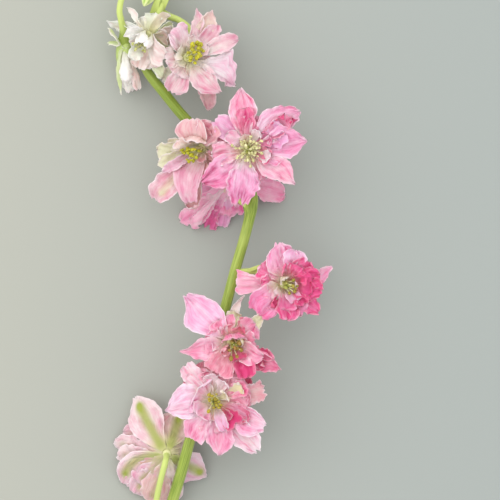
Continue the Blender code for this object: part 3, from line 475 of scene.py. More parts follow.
# Near the tip, turned up and right.
BLOOM_8_PETALS = [
    Petal(3.4, 17.9, 0, 5.5, pink=0.15, tip=0.25,
          outline=((0.2, 1.2, 1.4), (0.5, 1.6, 3), (0.7, 1.2, 3.4), (0.85, 0.7, 2.6),
                   (1, 0.2, 0.5))),
    Petal(9.2, 17.4, -1.5, 7, launch=25, pink=0.05, warm=0.7, cream=1,
          outline=((0.2, 1.2, 1.4), (0.5, 3, 3.2), (0.76, 2.8, 3.6), (0.9, 1.6, 2.4),
                   (1, 0.3, 0.4))),
    Petal(11.5, 12.2, -1, 6, 0.4, pink=0.25, tip=0.2),
    Petal(19, 6.6, -1, 8, pink=0.1, tip=0.35,
          outline=((0.2, 1.4, 1.4), (0.5, 3.4, 3), (0.7, 3.9, 3), (0.82, 3.2, 2.1),
                   (0.91, 2.5, 1.2), (1, 0.6, 0.3))),
    Petal(17.6, -10.6, 0.5, 12, pink=0, tip=0.35, ruffle=0.9, warm=-0.4,
          outline=((0.2, 2, 1.2), (0.4, 6, 1.4), (0.57, 10.5, 1.6), (0.68, 7.6, 1.8), (0.82, 6, 2),
                   (0.9, 3.2, 1.6), (1, 0.8, 0.5))),
    Petal(12, -12.8, 3.5, 11, pink=0.2, tip=0.2, fold=0.5, ruffle=0.3, crinkle=0.7,
          outline=((0.15, 1.8, 2.4), (0.4, 3.4, 7), (0.55, 3.4, 8.4), (0.77, 2.2, 7.6),
                   (0.9, 1.2, 4.2), (1, 0.4, 0.5))),
    Petal(8.2, -19, -4, 8, launch=15, land=-20, pink=0.3, warm=0.4,
          outline=((0.3, 2.5, 2), (0.6, 4, 2.4), (0.8, 4.2, 2), (0.95, 2.3, 1.2), (1, 0.8, 0.5))),
    Petal(-5.8, -12.6, 1.5, 9, pink=0.25, rim=0.8, ruffle=0.2,
          outline=((0.2, 1.8, 1.6), (0.45, 3.6, 3.2), (0.65, 4.9, 4), (0.82, 5.2, 4.2),
                   (0.95, 3.8, 3.6), (1, 2.2, 2))),
    Petal(-8.6, -8.6, -4.5, 7.5, 0.6, 5, -20, pink=-0.1, green=0.3, cream=0),
    Petal(-7.4, -2.6, -2.4, 8, 0.8, 5, -10, pink=-0.2, green=0.35, cream=0, rim=1),
    Petal(-6.4, 9.2, 5, 10.5, pink=0.15, warm=-0.3, rim=0.9,
          outline=((0.2, 1.6, 1.8), (0.45, 3.4, 5), (0.67, 3.2, 6.7), (0.88, 2, 6.2),
                   (1, 1, 4.6))),
    Petal(2.8, 8.4, 2.5, 5, 0.6, 50, 10, 0.5, pink=0.05, rim=0.8),
    Petal(8, 4.4, 2, 5.5, 0.6, 50, 10, 0.4, pink=0.1, rim=0.6),
    Petal(1.4, -7.4, 2.4, 4.4, 0.6, 50, 10, 0.6, pink=0, cream=1),
    Petal(-3.6, -3, 3.6, 5, 0.8, 75, 20, 0.5, pink=-0.1, cream=0.9, rim=1),
    Petal(-4, 1.8, 4.2, 6, 0.8, 75, 20, 0.5, pink=-0.1, cream=0.9, rim=1),
]

# The palest and least open: a cup that faces down and left, over the stem near its tip.
BLOOM_9_PETALS = [
    # The fringe on the left, behind the arched stalk.
    Petal(-15, 5, -8, 5, launch=-30, land=-30, pink=-0.1, cream=0, rim=1, ruffle=0.2, crinkle=0.6,
          outline=((0.2, 3.4, 3.4), (0.5, 3.4, 3.2), (0.75, 2.6, 2.4), (0.93, 2.2, 2),
                   (1, 1.2, 1.2))),
    Petal(-10.6, 2.6, -6.6, 6, 0.7, -20, -30, pink=-0.1, cream=0, rim=1, ruffle=0.2),
    smooth(-8, 9.8, -3, 2.4, 0.5, 10, -20, bow=-1.5, pink=-0.1, warm=0.4, ruffle=0.2),
    smooth(-3.2, 6.4, 0, 6.5, 0.8, 20, 0, 0.3, pink=-0.1, ruffle=0.2),
    # The khaki-backed petal at the top, and the green cup of bracts beside it.
    Petal(8, 7, 0.6, 4.4, 0.3, 30, -20, 0.4, bow=2, pink=0.1, cream=1, warm=0.6, green=0.1, rim=1,
          ruffle=0.2),
    Petal(9, 4, 0.8, 5.6, 0.6, 20, -10, 0.6, pink=0, green=0.6, rim=1),
    smooth(1.8, 7.8, 0.4, 7, 0.7, 20, 0, 0.2, pink=-0.1, green=0.15, ruffle=0.2),
    smooth(9, 0.4, 0.6, 9, 0.8, 30, 0, 0.2, pink=0, warm=0.5, cream=0.2, ruffle=0.2),
    # White petals on the left, seen from outside, and their curl by the stamens.
    smooth(-7.4, 2.6, 4, 9, 0.8, 30, 0, 0.4, pink=-0.1, cream=0.2),
    smooth(-7, -2.4, 3.5, 8, 0.8, 40, 30, 0.4, pink=-0.1, cream=0.2),
    smooth(-3.8, -3.6, 7, 7, 0.85, 40, 110, 0.5, pink=-0.1),
    smooth(-1, -5.4, 7.4, 4.6, 0.85, 60, 130, 0.7, pink=-0.1),
    Petal(-6.6, -9.4, 2.5, 6, 0.7, 60, 60, 0.5, pink=-0.1, green=0.1, rim=1),
    # Broad smooth petals on the right, with their backs to the viewer.
    smooth(6.2, -8.4, 6, 13, launch=75, cup=0.2, wave=0.3, pink=0.1, ruffle=0.15, crinkle=0.4,
           cream=0, warm=0.4,
           outline=((0.1, 2.4, 2.4), (0.35, 4.8, 4.4), (0.7, 6.2, 5.6), (0.9, 5.6, 4.8),
                    (1, 3.6, 3.2))),
    Petal(9.2, -7.6, 0, 6, 0.6, 20, 0, 0.3, pink=0, green=0.6, rim=0.8),
    smooth(7.4, -1.6, 3.4, 9, 0.9, 20, 60, 0.4, wave=0.3, pink=0.1, warm=0.6, ruffle=0.2),
    # Peach petals at the bottom, and the pale green leaf by the stem.
    Petal(1.4, -12.8, 0, 9, 0.8, 35, 30, 0.2, pink=0.08, warm=0.6, rim=1),
    Petal(-4, -12.6, -0.5, 7.5, 0.8, 35, 30, 0.2, pink=0.05, warm=0.6, rim=1),
    Petal(5.4, -15.6, 1, 6, 0.5, 0, 0, 0.3, pink=0, green=0.5, rim=0.8),
]

# A bud that has begun to open, hanging from an arched stalk: a green cup, white petals.
OPENING_BUD_PETALS = [
    Petal(-6.2, 5, 3, 8, 0.7, -60, -40, green=0.3, pink=-0.1, cream=0, rim=1, ruffle=0.1,
          crinkle=0.3, wave=0.2,
          outline=((0.1, 3, 3), (0.4, 3.6, 3.6), (0.8, 2.6, 2.6), (1, 1.2, 1.2))),
    Petal(4.8, 5, 4.4, 3.6, 0.6, -10, -60, green=0.6, pink=0, cream=0, ruffle=0.1),
    Petal(-6.4, -0.4, 1, 6.4, 0.7, -40, 20, green=0.4, pink=-0.1, cream=0, rim=1, ruffle=0.1,
          crinkle=0.3, wave=0.2,
          outline=((0.1, 2.6, 2.6), (0.4, 3, 3), (0.8, 2, 2), (1, 0.8, 0.8))),
    Petal(-1.6, -18.8, -1, 1.8, 0.5, 40, 100, 0.4, green=0.45, pink=-0.1, cream=0, rim=1,
          ruffle=0.1),
    smooth(4.6, -17.4, 0.6, 4, 0.8, 74, 95, 0.5, pink=0.1, warm=0.4),
    smooth(0.4, -14.6, 3.2, 5.6, 0.8, 60, 100, 0.5, pink=-0.2),
]

BLOOMS = {
    "bloom_1": Bloom(
        (7.2, 52.6, 13), (0.05, 0.30, -0.95), BLOOM_1_PETALS,
        [Ring(7, 9.5, 9, 38, 40, 12, backing(-0.05, 0.5, warm=0.3, crinkle=0.5, ruffle=0.2))],
        stamens=9, palette=SOFT, slot="petal_pale",
    ),
    "bloom_2": Bloom(
        (24.5, 72, 24.5), (-0.05, -0.05, 1), BLOOM_2_PETALS,
        [Ring(6, 13, 11, 6, 20, 22, backing(0.3, warm=0.2))],
        stamens=14, spread=19, anther=shade(178, 156, 56),
        palette=Palette(
            pale=shade(252, 232, 240), pink=shade(250, 174, 202), green=shade(240, 240, 160),
        ),
        slot="petal_pale",
    ),
    "bloom_3": Bloom(
        (30.6, 93.2, 27.5), (0.18, -0.25, 0.95), BLOOM_3_PETALS,
        [Ring(5, 10.5, 10, 4, 40, 32, backing(0.4))],
        stamens=9, spread=16, lean=(0.05, -0.3, 0), grain=1.1, anther=shade(160, 116, 62),
        palette=Palette(green=shade(240, 246, 184)),
    ),
    "bloom_4": Bloom(
        (49.3, 113.8, 23.5), (0.30, -0.12, 0.94), BLOOM_4_PETALS,
        [Ring(6, 11, 9.5, 6, 10, 42, backing(0.55, ruffle=0.9))],
        stamens=7, spread=16, lean=(0.35, -0.2, 0), anther=shade(158, 144, 62),
        palette=Palette(pink=shade(255, 182, 216), deep=shade(246, 96, 160)),
    ),
    "bloom_5": Bloom(
        (29.9, 150.8, 11.5), (0, -0.15, -1), BLOOM_5_PETALS,
        [
            Ring(3, 11, 6.5, 38, 15, 52, Petal(0, 0, 0, 0, 0.6, 55, 35, 0.5, 0.7, pink=0.5,
                                               rim=0.7, cream=0.8, tip=-0.1)),
            Ring(7, 13.5, 9, 34, 0, 53, backing(0.55, ruffle=0.9)),
        ],
        stamens=9, palette=Palette(pink=shade(255, 190, 220), deep=shade(242, 118, 178)),
    ),
    "bloom_6": Bloom(
        (36.4, 162, 26.5), (0.03, -0.03, 1), BLOOM_6_PETALS,
        [Ring(6, 12.5, 11.5, 3, 15, 62, backing(0.35))],
        stamens=42, spread=44, grain=0.85, anther=shade(228, 220, 168),
    ),
    "bloom_7": Bloom(
        (20, 162.8, 21.5), (-0.50, -0.38, 0.78), BLOOM_7_PETALS,
        [Ring(5, 9, 9, 6, 15, 72, backing(0.25, warm=0.4))],
        stamens=26, spread=24, lean=(-0.2, 0, 0), grain=0.95, anther=shade(186, 182, 44),
        palette=PALEST._replace(
            pale=shade(246, 222, 222), pink=shade(236, 166, 182), green=shade(230, 244, 186),
        ),
        slot="petal_pale",
    ),
    "bloom_8": Bloom(
        (14.4, 195, 20.5), (0.40, 0.20, 0.90), BLOOM_8_PETALS,
        [Ring(6, 8.5, 8, 4, 15, 82, backing(0.1))],
        stamens=24, spread=27, lean=(0.22, 0.12, 0), grain=1.15, anther=shade(206, 198, 56),
        palette=PALEST, slot="petal_pale",
    ),
    "bloom_9": Bloom(
        (0.7, 203.6, 17.5), (-0.30, -0.64, 0.71), BLOOM_9_PETALS,
        [],
        stamens=16, spread=20, lean=(-0.25, 0, 0), grain=0.75, anther=shade(200, 202, 132),
        palette=Palette(
            pale=shade(255, 254, 252), pink=shade(250, 226, 226), deep=shade(236, 150, 180),
            rim=shade(255, 255, 250), cream=shade(230, 224, 168), green=shade(196, 212, 126),
        ),
        slot="petal_pale",
    ),
    "opening_bud": Bloom(
        (-7.9, 200.8, 9.8), (0.10, -0.93, -0.34), OPENING_BUD_PETALS,
        [
            Ring(5, 18.2, 6.5, 87, 60, 102, smooth(0, 0, 0, 0, 0.7, 88, 94, 0.5, 0.2, pink=-0.12,
                                                   green=0.04)),
            # The green cup that holds them.
            Ring(5, 7.8, 6.5, 60, 20, 103, Petal(
                0, 0, 0, 0, launch=-55, land=112, cup=0.7, wave=0.1, pink=0, rim=0.5, cream=0,
                green=0.95, rib=0, ruffle=0.1,
                outline=((0.05, 2.4, 2.4), (0.2, 3.8, 3.8), (0.5, 3.8, 3.8), (0.85, 2.4, 2.4),
                         (1, 1.2, 1.2)))),
        ],
        stamens=0,
        palette=Palette(
            pale=shade(255, 252, 248), pink=shade(248, 222, 218), deep=shade(236, 150, 180),
            cream=shade(216, 222, 156), green=shade(206, 224, 132),
        ),
        slot="bud_green",
    ),
}

# The stem: x, y, z and radius at points along it, from the cut end to the tip.
STEM_ROUTE = [
    (0.0, -4.0, STEM_FLAT_Z, STEM_RADIUS),
    (0.0, 4.0, STEM_FLAT_Z, STEM_RADIUS),
    (1.8, 11.0, 2.3, 2.0),
    (5.3, 23.4, 4.6, 2.0),
    (9.3, 36.0, 8.6, 2.0),
    (12.6, 46.8, 12.8, 2.0),
    (15.5, 57.6, 15.6, 1.95),
    (20.2, 73.8, 17.0, 1.95),
    (24.8, 91.8, 17.5, 1.9),
    (28.8, 107.3, 17.5, 1.9),
    (32.0, 119.5, 17.5, 1.9),
    (34.9, 129.6, 17.5, 1.9),
    (37.0, 138.0, 17.4, 2.0),
    (37.3, 141.6, 17.3, 2.6),
    (37.6, 146.0, 17.0, 2.0),
    (33.5, 154.5, 16.5, 1.9),
    (24.5, 163.1, 16.0, 1.85),
    (14.0, 173.2, 15.0, 1.85),
    (6.5, 182.2, 13.8, 1.85),
    (0.0, 190.6, 12.4, 1.7),
    (-2.4, 198.5, 11.0, 1.6),
    (-0.4, 206.0, 10.4, 1.6),
    (4.0, 213.5, 10.4, 1.6),
    (5.8, 222.0, 9.4, 1.4),
    (6.0, 231.0, 7.6, 1.2),
    (4.8, 238.0, 6.0, 1.0),
]

# Each stalk's way from the stem to just behind its bloom.
STALKS = {
    "bloom_1": [(3.8, 18.0, 3.4), (2.4, 27.0, 6.0), (3.4, 36.0, 10.2), (5.0, 43.5, 14.6),
                (6.6, 49.6, 16.8)],
    "bloom_2": [(17.2, 62.5, 15.8), (21.0, 66.5, 18.5), (24.2, 70.6, 20.8)],
    "bloom_3": [(25.0, 92.0, 17.5), (28.6, 94.0, 20.5)],
    "bloom_4": [(31.2, 117.6, 17.5), (39.5, 118.3, 18.2), (45.6, 115.6, 19.4)],
    "bloom_5": [(37.0, 143.2, 17.0), (34.0, 143.4, 17.6), (30.6, 148.0, 17.0)],
    "bloom_6": [(36.2, 150.6, 17.0), (37.2, 156.5, 19.6), (36.6, 160.8, 22.4)],
    "bloom_7": [(30.0, 158.4, 16.4), (26.0, 166.0, 18.0), (22.2, 166.2, 18.6)],
    "bloom_8": [(3.6, 212.6, 10.4), (7.6, 210.4, 11.2), (11.6, 208.8, 12.0), (15.2, 205.8, 12.8),
                (15.8, 201.0, 13.6), (13.8, 196.6, 14.6), (12.9, 194.4, 16.6)],
    "bloom_9": [(5.0, 217.0, 10.0), (5.0, 213.4, 13.2), (3.0, 208.4, 15.0)],
    "opening_bud": [(5.6, 223.4, 9.0), (1.6, 224.4, 12.0), (-4.4, 222.8, 15.4),
                    (-8.4, 218.0, 17.0), (-9.8, 212.6, 17.2), (-9.3, 208.8, 15.8),
                    (-8.4, 205.0, 12.8)],
}

# Closed buds by the tip: the base's place, the way each points, its length, its radius and stalk.
BUDS = {
    "bud_1": ((1.2, 219.2, 14.2), (-0.34, -0.84, 0.42), 6.6, 2.5,
              [(5.0, 218.6, 9.8), (3.0, 220.4, 12.4)]),
    "bud_2": ((11.0, 228.4, 8.2), (0.80, 0.50, 0.10), 6.4, 2.0,
              [(6.0, 224.0, 9.0), (8.4, 226.2, 8.8)]),
    "bud_3": ((9.6, 238.4, 6.4), (0.72, 0.68, -0.14), 5.6, 1.8,
              [(5.8, 232.0, 7.4), (7.8, 235.6, 7.0)]),
    "bud_4": ((0.0, 241.4, 6.0), (-0.62, 0.76, -0.18), 5.2, 1.7,
              [(5.4, 234.4, 6.8), (2.4, 238.6, 6.5)]),
    "bud_5": ((4.9, 242.0, 5.2), (0.10, 0.98, -0.16), 4.8, 1.5, [(4.8, 238.0, 6.0)]),
}

# Narrow leaf-like bracts, one below each stalk: base, tip and width.
BRACTS = [
    ((3.4, 18.0, 4.6), (-1.6, 22.6, 8.0), 1.8),
    ((16.6, 61.6, 17.0), (12.6, 67.4, 19.6), 1.8),
    ((36.2, 118.4, 18.6), (42.2, 120.8, 20.8), 1.9),
    ((37.0, 140.6, 17.8), (33.4, 143.8, 19.8), 2.2),
    ((6.0, 216.0, 11.0), (12.0, 218.6, 13.2), 2.0),
    ((1.6, 209.0, 12.0), (4.6, 218.6, 15.0), 3.6),
    ((5.0, 212.6, 12.0), (8.6, 220.0, 14.0), 3.2),
    ((5.7, 224.0, 9.4), (-0.2, 228.2, 10.6), 1.8),
    ((5.8, 231.6, 8.0), (11.4, 233.4, 9.4), 1.6),
]


# Shapes


def unit(vector):
    """The same direction, one long."""
    vector = np.asarray(vector, float)
    return vector / np.linalg.norm(vector)


def units(vectors):
    """Each direction of an array, one long."""
    return vectors / np.linalg.norm(vectors, axis=-1, keepdims=True)


def leaning(first, second, angle):
    """The direction at an angle from the first towards the second."""
    return first * math.cos(angle) + second * math.sin(angle)


def scatter(seed, index):
    """A repeatable value from -1 to 1: the fraction of a large sine of the seed and index."""
    return 2 * math.modf(abs(math.sin(seed * 12.9898 + index * 78.233)) * 43758.5453)[0] - 1


def smooth_step(low, high, value):
    """0 below low, 1 above high, and 3t^2 - 2t^3 between."""
    t = np.clip((value - low) / (high - low), 0, 1)
    return t * t * (3 - 2 * t)


def ripples(x, y, seed, kind):
    """Smooth bumps from about -1 to 1: a third of six sine waves' sum, spread in direction."""
    factor, length = kind
    random = np.random.default_rng(int(seed * factor))
    total = 0.0
    for k in range(6):
        angle = math.pi * (k + random.random()) / 6
        pace = 2 * math.pi / length * random.uniform(0.7, 1.3)
        along = x * math.cos(angle) + y * math.sin(angle)
        total = total + np.sin(pace * along + random.uniform(0, 2 * math.pi))
    return total / 3


def smooth_route(points, steps):
    """Points on a smooth curve through the given ones, with steps spans between each pair.

    Each span is the cubic whose ends have the slope between their neighbours.
    """
    points = np.asarray(points, float)
    ends = np.vstack([2 * points[0] - points[1], points, 2 * points[-1] - points[-2]])
    before, start, end, after = ends[:-3, None], ends[1:-2, None], ends[2:-1, None], ends[3:, None]
    t = (np.arange(steps) / steps)[None, :, None]
    spans = (
        start
        + 0.5 * t * (end - before)
        + t * t * (before - 2.5 * start + 2 * end - 0.5 * after)
        + 0.5 * t**3 * (3 * (start - end) + after - before)
    )
    return np.vstack([spans.reshape(-1, points.shape[1]), points[-1]])


class Skin(NamedTuple):
    """A surface: its points, its quads and triangles, and named values at its points."""

    points: np.ndarray
    quads: np.ndarray
    triangles: np.ndarray
    values: dict


def merged(skins):
    """One skin from several, kept as separate closed shells."""
    starts = np.cumsum([0] + [len(skin.points) for skin in skins[:-1]])
    return Skin(
        np.concatenate([skin.points for skin in skins]),
        np.concatenate([skin.quads + start for skin, start in zip(skins, starts)]),
        np.concatenate([skin.triangles + start for skin, start in zip(skins, starts)]),
        {key: np.concatenate([skin.values[key] for skin in skins]) for key in skins[0].values},
    )


def make_piece(name, skin, material, node):
    """A named object from a skin in millimetres, standing for the given CAD node."""
    corners = np.concatenate([skin.quads.ravel(), skin.triangles.ravel()])
    starts = np.concatenate([
        np.arange(len(skin.quads)) * 4,
        len(skin.quads) * 4 + np.arange(len(skin.triangles)) * 3,
    ])
    mesh = bpy.data.meshes.new(name)
    mesh.vertices.add(len(skin.points))
    mesh.vertices.foreach_set("co", (skin.points * MM).astype(np.float32).ravel())
    mesh.loops.add(len(corners))
    mesh.loops.foreach_set("vertex_index", corners.astype(np.int32))
    mesh.polygons.add(len(starts))
    mesh.polygons.foreach_set("loop_start", starts.astype(np.int32))
    mesh.update(calc_edges=True)
    for key, value in skin.values.items():
        attribute = mesh.attributes.new(key, "FLOAT_VECTOR", "POINT")
        attribute.data.foreach_set("vector", value.astype(np.float32).ravel())
    mesh.shade_smooth()
    mesh.materials.append(material)
    piece = bpy.data.objects.new(name, mesh)
    bpy.context.scene.collection.objects.link(piece)
    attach(piece, BODY)
    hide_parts(node)


# Petals


class Blade(NamedTuple):
    """A petal's grid: u runs from rim to rim and v from root to tip. half is half the width."""

    petal: Petal
    seed: float
    length: float
    u: np.ndarray
    v: np.ndarray
    half: np.ndarray


def ragged(v, side, seed, amount):
    """A broken line along each rim, between seeded heights at even places, from -1 to 1."""
    random = np.random.default_rng(int(seed * RAGGED_FACTOR))
    places = np.linspace(0, 1, RAGGED_PLACES)
    left = np.interp(v, places, random.uniform(-1, 1, RAGGED_PLACES))
    right = np.interp(v, places, random.uniform(-1, 1, RAGGED_PLACES))
    return amount * v * np.where(side > 0, left, right)


def petal_half(petal, u, v, length, seed):
    """Half the width at each point, with a broken, slightly toothed rim.

    It comes from the petal's own outline, or else is v^a (1 - v)^b, with a and b set by how blunt
    the petal is.
    """
    side = np.sign(u)
    teeth = 0.3 * petal.ruffle * smooth_step(0.2, 0.7, v)
    teeth = teeth * ripples(v * length, 7 * side, seed, TEETH)
    if petal.outline:
        along, left, right = np.array([(0, ROOT_HALF, ROOT_HALF), *petal.outline], float).T
        half = np.where(side > 0, np.interp(v, along, left), np.interp(v, along, right))
        return half * (1 + ragged(v, side, seed, 0.06)) + np.maximum(teeth, -0.3 * half)
    rise, fall = 0.9 + 0.5 * petal.blunt, 1.0 - 0.8 * petal.blunt
    peak = rise / (rise + fall)
    shape = v**rise * (1 - v) ** fall / (peak**rise * (1 - peak) ** fall)
    end = TIP_HALF + petal.width * max(0.0, petal.blunt - 0.7)
    half = np.sqrt((petal.width / 2 * shape) ** 2 + (ROOT_HALF * (1 - v)) ** 2 + (end * v**3) ** 2)
    half = half * (1 + ragged(v, side, seed, 0.2))
    return half + np.maximum(teeth, -0.3 * half)


def new_blade(petal, seed):
    """A petal's grid, its columns crowded near the rims."""
    length = np.linalg.norm((petal.x, petal.y, petal.z))
    rows = int(np.clip(length / CELL, 16, 60))
    columns = 2 * int(np.clip(petal.width / CELL / 2, 6, 22))
    crowded = np.sin(np.linspace(-EDGE_CROWDING, EDGE_CROWDING, columns + 1))
    u, v = np.meshgrid(crowded / math.sin(EDGE_CROWDING), np.linspace(0, 1, rows + 1))
    return Blade(petal, seed, length, u, v, petal_half(petal, u, v, length, seed))


def petal_spine(petal, axis, out, side, v):
    """A cubic curve from the heart to the tip, by its launch and land angles, bowed and curled."""
    tip = np.array((petal.x, petal.y, petal.z))
    root = out * ROOT_RADIUS
    reach = np.linalg.norm(tip - root)
    bow = side * petal.bow * 4 / 3
    leave = root + reach * HANDLE * leaning(out, axis, math.radians(petal.launch)) + bow
    arrive = tip - reach * HANDLE * leaning(out, axis, math.radians(petal.land)) + bow
    w = 1 - v
    spine = w**3 * root + 3 * v * w**2 * leave + 3 * v**2 * w * arrive + v**3 * tip
    return spine + axis * petal.curl * np.clip((v - 0.6) / 0.4, 0, 1) ** 2


def petal_frame(petal, axis, out, v):
    """The spine, the way along it, and the two ways square to it, turned by the twist."""
    side = np.cross(axis, out)
    spine = petal_spine(petal, axis, out, side, v)
    tangent = units(np.gradient(spine, axis=0))
    across = units(side - tangent * (tangent @ side)[:, None])
    normal = np.cross(tangent, across)
    turn = math.radians(petal.twist) * v
    cosine, sine = np.cos(turn), np.sin(turn)
    return spine, tangent, across * cosine + normal * sine, normal * cosine - across * sine


def summed(slope, u):
    """The integral of each row's values along u, counted from its middle."""
    steps = np.diff(u, axis=1) * (slope[:, 1:] + slope[:, :-1]) / 2
    total = np.concatenate([np.zeros((len(u), 1)), np.cumsum(steps, axis=1)], axis=1)
    return total - total[:, total.shape[1] // 2][:, None]


def cross_section(blade):
    """How far each point lies across and above the spine.

    These are the half width times the integrals of the cosine and the sine of a slope. The slope
    grows evenly to twice the cup at the rims, and faster near a rim that is rolled over.
    """
    petal, u, v = blade.petal, blade.u, blade.v
    slope = 2 * petal.cup * u * smooth_step(-0.3, 0.5, v)
    rolled = np.sign(u) * (u * petal.roll > 0) * smooth_step(0.4, 0.95, np.abs(u))
    slope = slope + abs(petal.roll) * rolled * smooth_step(0.0, 0.4, v)
    return blade.half * summed(np.cos(slope), u), blade.half * summed(np.sin(slope), u)


def creases(blade):
    """Sharp ridges between rounded hollows that fan out: 1 less 2.2 times a ripple's size."""
    petal, seed, length, u, v, _ = blade
    line = ripples(u * petal.width / 2, 0.3 * v * length, seed, CREASE)
    return smooth_step(0.05, 0.4, v) * (1 - 2.2 * np.abs(line))


def wrinkles(blade):
    """Small irregular dents: ripples about two millimetres long, shallower at the root."""
    petal, seed, length, u, v, half = blade
    dents = ripples(u * half, 0.7 * v * length, seed, DENT)
    return 0.11 * petal.crinkle * smooth_step(0.1, 0.5, v) * dents


def petal_lift(blade):
    """How far each point stands off the spine's own strip.

    It is the sum of a sine wave along each rim, ruffles that grow as the cube of the way from the
    midrib, a fold along it, a fan of cosine pleats, and the creases, crumples and dents.
    """
    petal, seed, length, u, v, half = blade
    side, rim = np.sign(u), np.abs(u)
    wave = petal.wave * rim**1.5 * v * np.sin(9 * v + seed + 2 * side)
    frill = ripples(v * length, 9 * side, seed, FRILL)
    ruffle = 1.1 * petal.ruffle * rim**3 * np.sqrt(v) * frill
    fold = -petal.fold * (1 - rim) * np.sin(math.pi * v) ** 0.7
    pleat = petal.pleat * v * np.cos(7.5 * u + seed)
    crease = 0.2 * petal.crinkle * creases(blade)
    crumple = ripples(u * half, v * length, seed, CRUMPLE)
    crumple = 0.3 * smooth_step(0.05, 0.4, v) * crumple
    return wave + ruffle + fold + pleat + crease + crumple + wrinkles(blade)


def petal_notch(blade):
    """How far the tip is cut back: a bell-shaped cleft, a wave and nibbles, by powers of v."""
    petal, seed, _, u, v, half = blade
    notch = petal.cleft * v**5 * np.exp(-((u / 0.35) ** 2))
    notch = notch + 0.5 * v**6 * (0.5 + 0.5 * np.sin(7 * u + 5 * seed))
    return notch + 0.5 * petal.ruffle * v**8 * (1 + ripples(u * half, 0 * v, seed, NIBBLE))


def petal_sheet(bloom, blade, out):
    """The middle surface of a petal, as rows of points from root to tip.

    Each point is the spine's, moved across and out by its cross-section and back by the notch.
    """
    spine, along, across, normal = petal_frame(blade.petal, unit(bloom.face), out, blade.v[:, :1])
    wide, lift = cross_section(blade)
    lift = lift + petal_lift(blade)
    sheet = (
        spine[:, None, :]
        + wide[..., None] * across[:, None, :]
        + lift[..., None] * normal[:, None, :]
        - petal_notch(blade)[..., None] * along[:, None, :]
    )
    sheet = sheet + np.array(bloom.heart)
    sheet[..., 2] = np.maximum(sheet[..., 2], FLOOR_LIFT)
    return sheet


def petal_depth(blade, back):
    """The depth of colour: blotched and streaked, and paler on the back. The ridges of creases and
    dents get a painted highlight, and their hollows painted shade.
    """
    petal, seed, length, u, v, half = blade
    depth = petal.pink + 0.05 + petal.tip * (2 * v - 0.8)
    depth = depth + 0.11 * ripples(u * half, 0.7 * v * length, seed, BLOTCH) - 0.06 * back
    depth = depth + 0.09 * np.clip(ripples(6 * u, 0.6 * v, seed, STREAK), -0.5, 1)
    # Painted light: colour paler on the ridges of creases and dents and deeper in their hollows,
    # as painted highlight and shade.
    return depth - 0.1 * creases(blade) - 0.35 * wrinkles(blade)


def petal_rim(blade, depth):
    """The pale rim, broken here and there, and weaker where the colour is deep.

    It falls off as e^-(d / RIM_WIDTH)^1.4, with d the distance to the rim in millimetres, so
    that it is as narrow on a wide petal.
    """
    petal, seed, length, u, v, half = blade
    to_rim = np.minimum(half * (1 - np.abs(u)), (1 - v) * length)
    broken = 0.75 + 0.45 * ripples(u * half, v * length, seed, BREAK)
    rim = petal.rim * np.clip(broken, 0, 1) * np.exp(-((to_rim / RIM_WIDTH) ** 1.4))
    return rim * (1 - 0.55 * np.clip(depth, 0, 1))


def petal_cream(blade):
    """The cream base: a bell curve from the root, or all along the petal where it is full."""
    share, v = blade.petal.cream, blade.v
    cream = share * np.exp(-((v * blade.length / (2.4 + 2.4 * share)) ** 2))
    return np.maximum(cream, 0.75 * (1 - v)) if share >= 1 else cream


def petal_rib(blade, back):
    """The green midrib: a strip along the middle and a round spot near its end.

    It is on the back, or on both faces if negative. The strip's edges fall off as e^-|x|^3.
    """
    petal, _, length, u, v, half = blade
    ended = 1 - smooth_step(0.84, 0.95, v + 0.012 * (u * half) ** 2)
    wide = 0.8 + 0.9 * abs(petal.rib) + 0.5 * v
    strip = 0.78 * np.exp(-(np.abs(u * half / wide) ** 3)) * ended
    spot = 0.35 * np.exp(-((u * half / 1.1) ** 2) - ((v - 0.84) * length / 2.2) ** 2)
    seen = back if petal.rib > 0 else 1.0
    return abs(petal.rib) * seen * smooth_step(-0.02, 0.1, v) * (strip + spot)


def petal_values(blade, back):
    """What the petal material reads at each point: the blade's own place, its tones and marks."""
    depth = petal_depth(blade, back)
    one = np.ones_like(depth)
    found = {
        "blade": (blade.u, blade.v * blade.length / 10, one * (blade.seed % 50)),
        "tones": (depth, petal_rim(blade, depth), petal_cream(blade)),
        "marks": (petal_rib(blade, back), one * blade.petal.warm, one * blade.petal.green),
    }
    return {key: np.stack(values, axis=-1).reshape(-1, 3) for key, values in found.items()}


def petal_skin(bloom, petal, out, seed):
    """A thin closed blade: the middle surface moved half its thickness to each face, and a rim."""
    blade = new_blade(petal, seed)
    sheet, u, v = petal_sheet(bloom, blade, out), blade.u, blade.v
    normals = units(np.cross(np.gradient(sheet, axis=0), np.gradient(sheet, axis=1)))
    thick = BLADE_THICKNESS / 2 * (1 - 0.5 * np.abs(u) ** 4) * (1 + 0.8 * (1 - v) ** 4)
    step = normals * thick[..., None]
    index = np.arange(u.size).reshape(u.shape)
    a, b, c, d = index[:-1, :-1], index[1:, :-1], index[1:, 1:], index[:-1, 1:]
    upper = np.stack([a, b, c, d], axis=-1).reshape(-1, 4)
    lower = np.stack([a, d, c, b], axis=-1).reshape(-1, 4) + u.size
    loop = np.concatenate([index[0, :-1], index[:-1, -1], index[-1, :0:-1], index[:0:-1, 0]])
    after = np.roll(loop, -1)
    edge = np.stack([loop, after, after + u.size, loop + u.size], axis=-1)
    front, rear = petal_values(blade, 0.0), petal_values(blade, 1.0)
    return Skin(
        np.concatenate([(sheet + step).reshape(-1, 3), (sheet - step).reshape(-1, 3)]),
        np.concatenate([upper, lower, edge]),
        np.zeros((0, 3), int),
        {key: np.concatenate([front[key], rear[key]]) for key in front},
    )


def ring_frame(face):
    """Two directions square to a bloom's axis: the first as near +X as can be."""
    axis = unit(face)
    first = unit(np.array((1.0, 0.0, 0.0)) - axis * axis[0])
    return axis, first, np.cross(axis, first)


